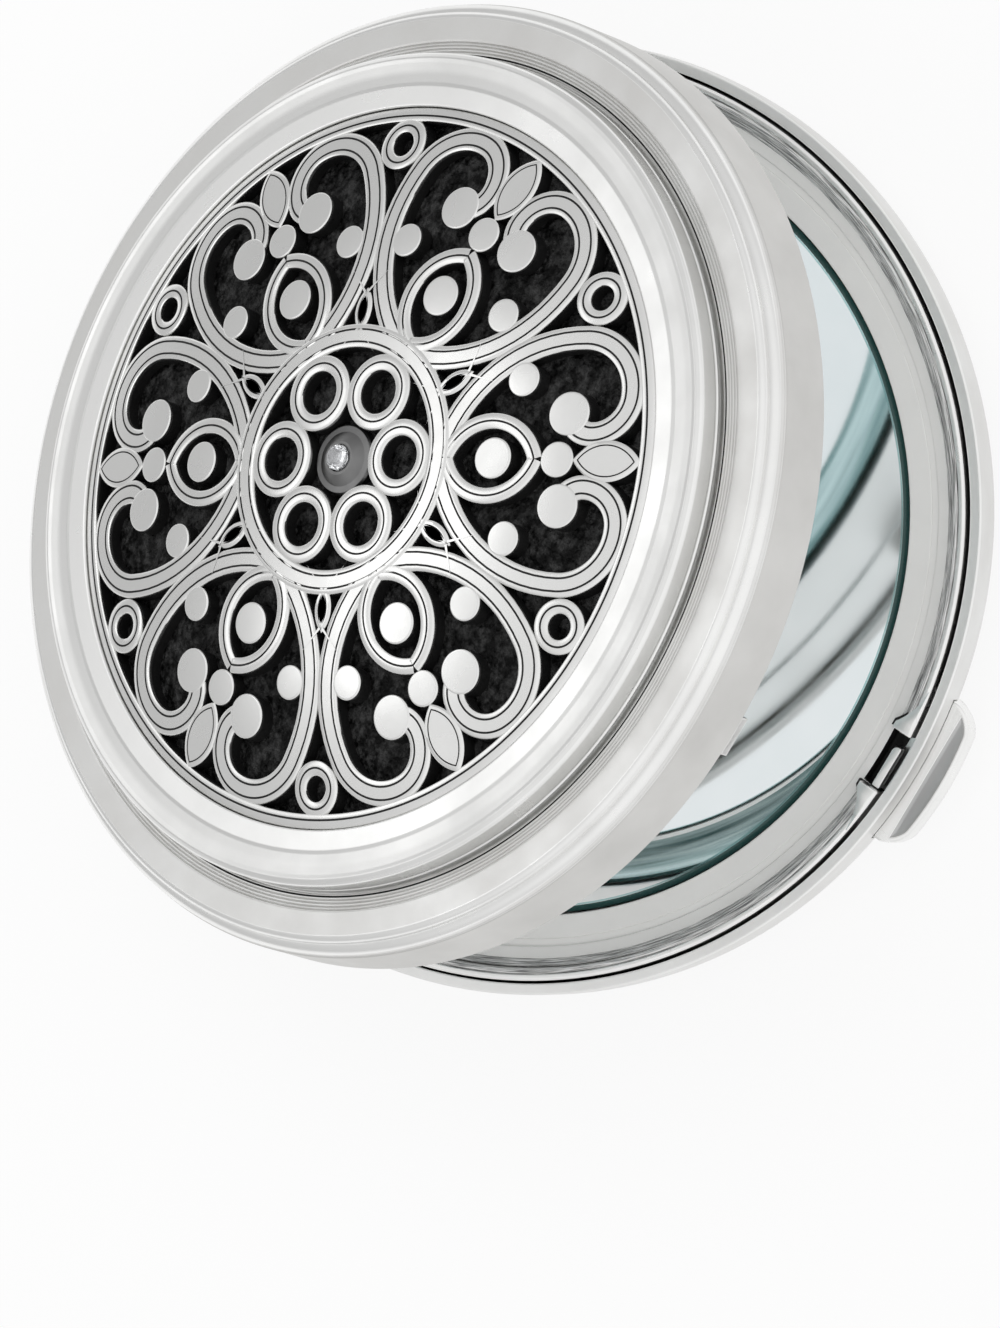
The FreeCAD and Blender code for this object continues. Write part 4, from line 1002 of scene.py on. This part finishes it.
bm = bmesh.new()
lathe(bm, mark_shade_and_grain(rounded(lip), [SHELF_INNER]))
lathe(bm, mark_shade_and_grain(rounded(shelf), [SHELF_INNER, SHELF_OUTER]), start=gap_start,
      sweep=math.tau - gap, end_paint=1)
lathe(bm, [(0, 2.4), (29.2, 2.4), (29.2, 3.0), (0, 3.0)], closed=False)
make_piece("mirror_frame", bm, [lacquered_lightened, painted_shade_black, grained], "base",
           ["base_tray"], sharp=30)

# %% [markdown]
# The lid's frame is the same idea upside down, with a single step.

# %% Lid frame
lid_frame = [(29.15, 3.5, 0), (29.15, 1.0, 0.12), (32.24, 1.0, 0.04), (32.24, 0.75, 0.06),
             (34.3, 0.75, 0.1), (34.3, 1.45, 0), (29.75, 1.45, 0), (29.75, 4.9, 0), (29.15, 4.9, 0),
             (29.15, 4.1, 0)]
bm = bmesh.new()
lathe(bm, rounded(lid_frame))
lathe(bm, [(0, 3.5), (29.2, 3.5), (29.2, 4.1), (0, 4.1)], closed=False)
make_piece("lid_frame", bm, [bright_satin], "lid", ["lid_tray"], sharp=30)

# %% [markdown]
# ## Thumb tab and catch
# The tab's plan is a shallow arc with rounded corners. The part of its top outside the pan is inset to
# leave a bright rim round a slightly dished, sand-blasted face for the thumb, and the lip is undercut
# by a broad rounding below. Inside the pan a bar, painted black as shade, carries the tongue that shows
# in the catch slot.

# %% Thumb tab
def box_piece(bm, low, high, round_by, paint):
    """A block between two corners with all its edges rounded."""
    size = Vector(high) - Vector(low)
    place = Matrix.Translation((Vector(high) + Vector(low)) / 2) @ Matrix.Diagonal((*size, 1))
    block = bmesh.ops.create_cube(bm, size=1, matrix=place)["verts"]
    for face in {face for vert in block for face in vert.link_faces}:
        face.material_index = paint
    edges = dict.fromkeys(edge for vert in block for edge in vert.link_edges)
    round_edges(bm, list(edges), round_by)


def arc_through(start, end, rise, count):
    """Points of an arc from start to end that bulges by rise to the right of the way."""
    chord = end - start
    radius = ((chord.length / 2) ** 2 + rise ** 2) / (2 * rise)
    left = Vector((-chord.y, chord.x)).normalized()
    centre = (start + end) / 2 + left * (radius - rise)
    first, last = start - centre, end - centre
    swing = math.atan2(first.x * last.y - first.y * last.x, first.dot(last))
    return [centre + Matrix.Rotation(swing * step / count, 2) @ first for step in range(count)]


TAB_LOW, TAB_HIGH = 2.2, 4.6
TAB_HALF, TAB_SIDE, TAB_BACK = 5.8, -35.0, -32.97
FACE_START = -35.5
UNDERCUT = 1.15
lip_left, lip_right = Vector((-4.2, -36.85)), Vector((4.2, -36.85))
side_left, side_right = Vector((-TAB_HALF, TAB_SIDE)), Vector((TAB_HALF, TAB_SIDE))
plan = arc_through(lip_left, lip_right, 0.35, 24) + arc_through(lip_right, side_right, 0.3, 8)
plan += [side_right, Vector((TAB_HALF, TAB_BACK)), Vector((-TAB_HALF, TAB_BACK))]
plan += arc_through(side_left, lip_left, 0.3, 8)
bm = bmesh.new()
raise_plan(bm, plan, TAB_LOW, TAB_HIGH, 0.25)
top = max(bm.faces, key=lambda each: each.calc_center_median().z)
bmesh.ops.bisect_plane(bm, geom=[top, *top.edges, *top.verts], dist=1e-5, plane_co=(0, FACE_START, 0),
                       plane_no=(0, 1, 0))
tops = [face for face in bm.faces if all(abs(vert.co.z - TAB_HIGH) < 1e-5 for vert in face.verts)]
face = min(tops, key=lambda each: each.calc_center_median().y)
for inset, rise in ((0.08, 0.0), (0.05, -0.04), (0.25, -0.04)):
    bmesh.ops.inset_region(bm, faces=[face], thickness=inset, depth=rise, use_even_offset=True)
    if rise:
        face.material_index = 1
foot_edges = [edge for edge in bm.edges if all(abs(vert.co.z - TAB_LOW) < 1e-6 for vert in edge.verts)
              and sum(vert.co.y for vert in edge.verts) / 2 < TAB_SIDE - 0.02]
round_edges(bm, foot_edges, UNDERCUT, segments=4)
# The bars inside the pan are painted black as shade.
SHADE_BAR = 2
box_piece(bm, (-3.0, -33.2, TAB_LOW), (3.0, -31.6, TAB_HIGH), 0.1, SHADE_BAR)
box_piece(bm, (-6.6, -33.05, 3.5), (6.6, -32.25, TAB_HIGH), 0.1, SHADE_BAR)
box_piece(bm, (-2.3, -33.2, 4.5), (1.05, -32.95, 6.2), 0.05, SHADE_BAR)
tongue = rounded([(-2.3, -33.6, 0.1), (1.05, -33.6, 0.1), (1.05, -32.95, 0.45), (-2.3, -32.95, 0.1)])
raise_plan(bm, tongue, 5.75, 6.35, 0.08)
blasted = silver("blasted_silver", (0.48, 0.48, 0.48), (0.56, 0.56, 0.56), (0.4, 0.5), 0.0, 0.004)
make_piece("thumb_tab", bm, [polish_and_highlight_silver, blasted, painted_shade_black], "latch",
           ["latch_button"], sharp=30)

# %% [markdown]
# The hook inside the lid's front wall is a bent strip: a shank and the nose that the tongue holds.

# %% Hook
bm = bmesh.new()
box_piece(bm, (-2.15, -34.05, -1.7), (0.9, -33.75, 2.5), 0.06, 0)
box_piece(bm, (-2.15, -34.05, -1.7), (0.9, -33.3, -1.05), 0.1, 0)
make_piece("hook", bm, [satin], "lid", ["catch_hook"], sharp=30)

# %% [markdown]
# ## Hinge
# Three knuckles turn on one pin. Each is a short tube with rounded ends that is drawn on the lathe and
# then laid along the hinge line. The outer two stand on webs that run into the pan's wall.

# %% Outer knuckles
KNUCKLE = 1.1
BORE = 0.54
WALL_RADIUS = 34.95
lay_down = Matrix.Rotation(math.radians(90), 4, "Y")


def knuckle(start, end, axis):
    """A tube along the hinge line, from start to end, with its axis through the given point."""
    bm = bmesh.new()
    tube = [(BORE, start, 0), (KNUCKLE, start, 0.14), (KNUCKLE, end, 0.14), (BORE, end, 0)]
    lathe(bm, rounded(tube), steps=64)
    bmesh.ops.transform(bm, matrix=Matrix.Translation(axis) @ lay_down, verts=bm.verts)
    return bm


def fit_to_wall(bm):
    """Draw the inner side of a block in until it lies on the round wall of the case."""
    for vert in bm.verts:
        if vert.co.y < 35.1:
            vert.co.y = math.sqrt(WALL_RADIUS ** 2 - vert.co.x ** 2)


for name, start, end in (("right", 3.12, 7.92), ("left", -7.92, -3.12)):
    bm = knuckle(start, end, HINGE)
    box_piece(bm, (start + 0.05, 34.5, 4.25), (end - 0.05, 36.0, 5.75), 0.12, 0)
    fit_to_wall(bm)
    make_piece(f"hinge_{name}", bm, [polished], "base", [f"base_knuckle_{name}"],
               sharp=30)

# %% [markdown]
# The middle knuckle carries a leaf with rounded corners. The leaf is raised from its outline, turned
# upright against the lid's wall, and made thicker towards the knuckle.

# %% Middle knuckle
LEAF_TOP = 3.2
outline = rounded([(-3.0, 0.2, 0), (3.0, 0.2, 0), (3.0, LEAF_TOP, 0.9), (-3.0, LEAF_TOP, 0.9)])
leaf = bmesh.new()
raise_plan(leaf, outline, -34.5, -35.63, 0.2)
bmesh.ops.transform(leaf, matrix=Matrix.Rotation(math.radians(90), 4, "X"), verts=leaf.verts)
for vert in leaf.verts:
    if vert.co.y > 35.3:
        vert.co.y += 0.62 * (LEAF_TOP - vert.co.z) / LEAF_TOP
fit_to_wall(leaf)
box_piece(leaf, (-3.0, 35.25, -1.65), (3.0, 36.2, 0.3), 0.05, 0)
upright = bpy.data.meshes.new("upright")
leaf.to_mesh(upright)
leaf.free()
bm = knuckle(-3.0, 3.0, HINGE - Vector((0, 0, RIM_HEIGHT)))
bm.from_mesh(upright)
bpy.data.meshes.remove(upright)
make_piece("hinge_middle", bm, [polished], "lid", ["lid_knuckle"], sharp=30)

# %% [markdown]
# ## Pin, spring and pads
# The pin's ends are peened over to small heads. The bow spring behind the thumb tab is a thin strip
# that flattens when the tab is pressed; here it is drawn at rest. The foam pads are hidden: they keep
# the frame's own shapes and only get their finish. Steel and foam read object coordinates, which the
# frame's shapes have too.

# %% Pin, spring and pads
def frame_coordinates(tree):
    place = add_node(tree, "ShaderNodeTexCoord")
    scaled = add_node(tree, "ShaderNodeMapping", Scale=(1 / MM, 1 / MM, 1 / MM))
    join(tree, place, "Object", scaled, "Vector")
    return scaled


steel = mottled("spring_steel", (0.5, 0.5, 0.5), 6.0, (0.25, 0.4), grain=0.003, metallic=1.0,
                detail=4.0, place=frame_coordinates)
foam = mottled("foam", (0.7, 0.7, 0.66), 3.0, (0.8, 0.95), grain=0.05, detail=4.0,
               place=frame_coordinates)
PIN_END, PIN_NECK = 8.44, 8.04
head = [(0, PIN_END, 0), (0.5, PIN_END, 0.15), (0.8, PIN_NECK, 0.06), (0.5, PIN_NECK, 0)]
bm = bmesh.new()
both_heads = [(x, -z, rounding) for x, z, rounding in head] + head[::-1]
lathe(bm, rounded(both_heads, closed=False), closed=False, steps=48)
bmesh.ops.transform(bm, matrix=Matrix.Translation(HINGE) @ lay_down, verts=bm.verts)
make_piece("pin", bm, [steel], "base", ["hinge_pin"], sharp=30)

SPRING_HALF, SPRING_RISE, SPRING_FOOT = 4.5, 1.84, -29.46
SPRING_SHEET = 0.25
strip = []
for y in (SPRING_FOOT - SPRING_SHEET, SPRING_FOOT):
    left, right = Vector((-SPRING_HALF, y)), Vector((SPRING_HALF, y))
    strip.append(arc_through(left, right, SPRING_RISE, 24) + [right])
bm = bmesh.new()
raise_plan(bm, strip[0] + strip[1][::-1], 2.6, 4.2, 0.04)
spring = make_piece("bow_spring", bm, [steel], "base", ["latch_spring"], sharp=30)
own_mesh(spring)

for node in ("base_mirror_pad", "lid_mirror_pad"):
    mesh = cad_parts[node].data
    mesh.materials.clear()
    mesh.materials.append(foam)
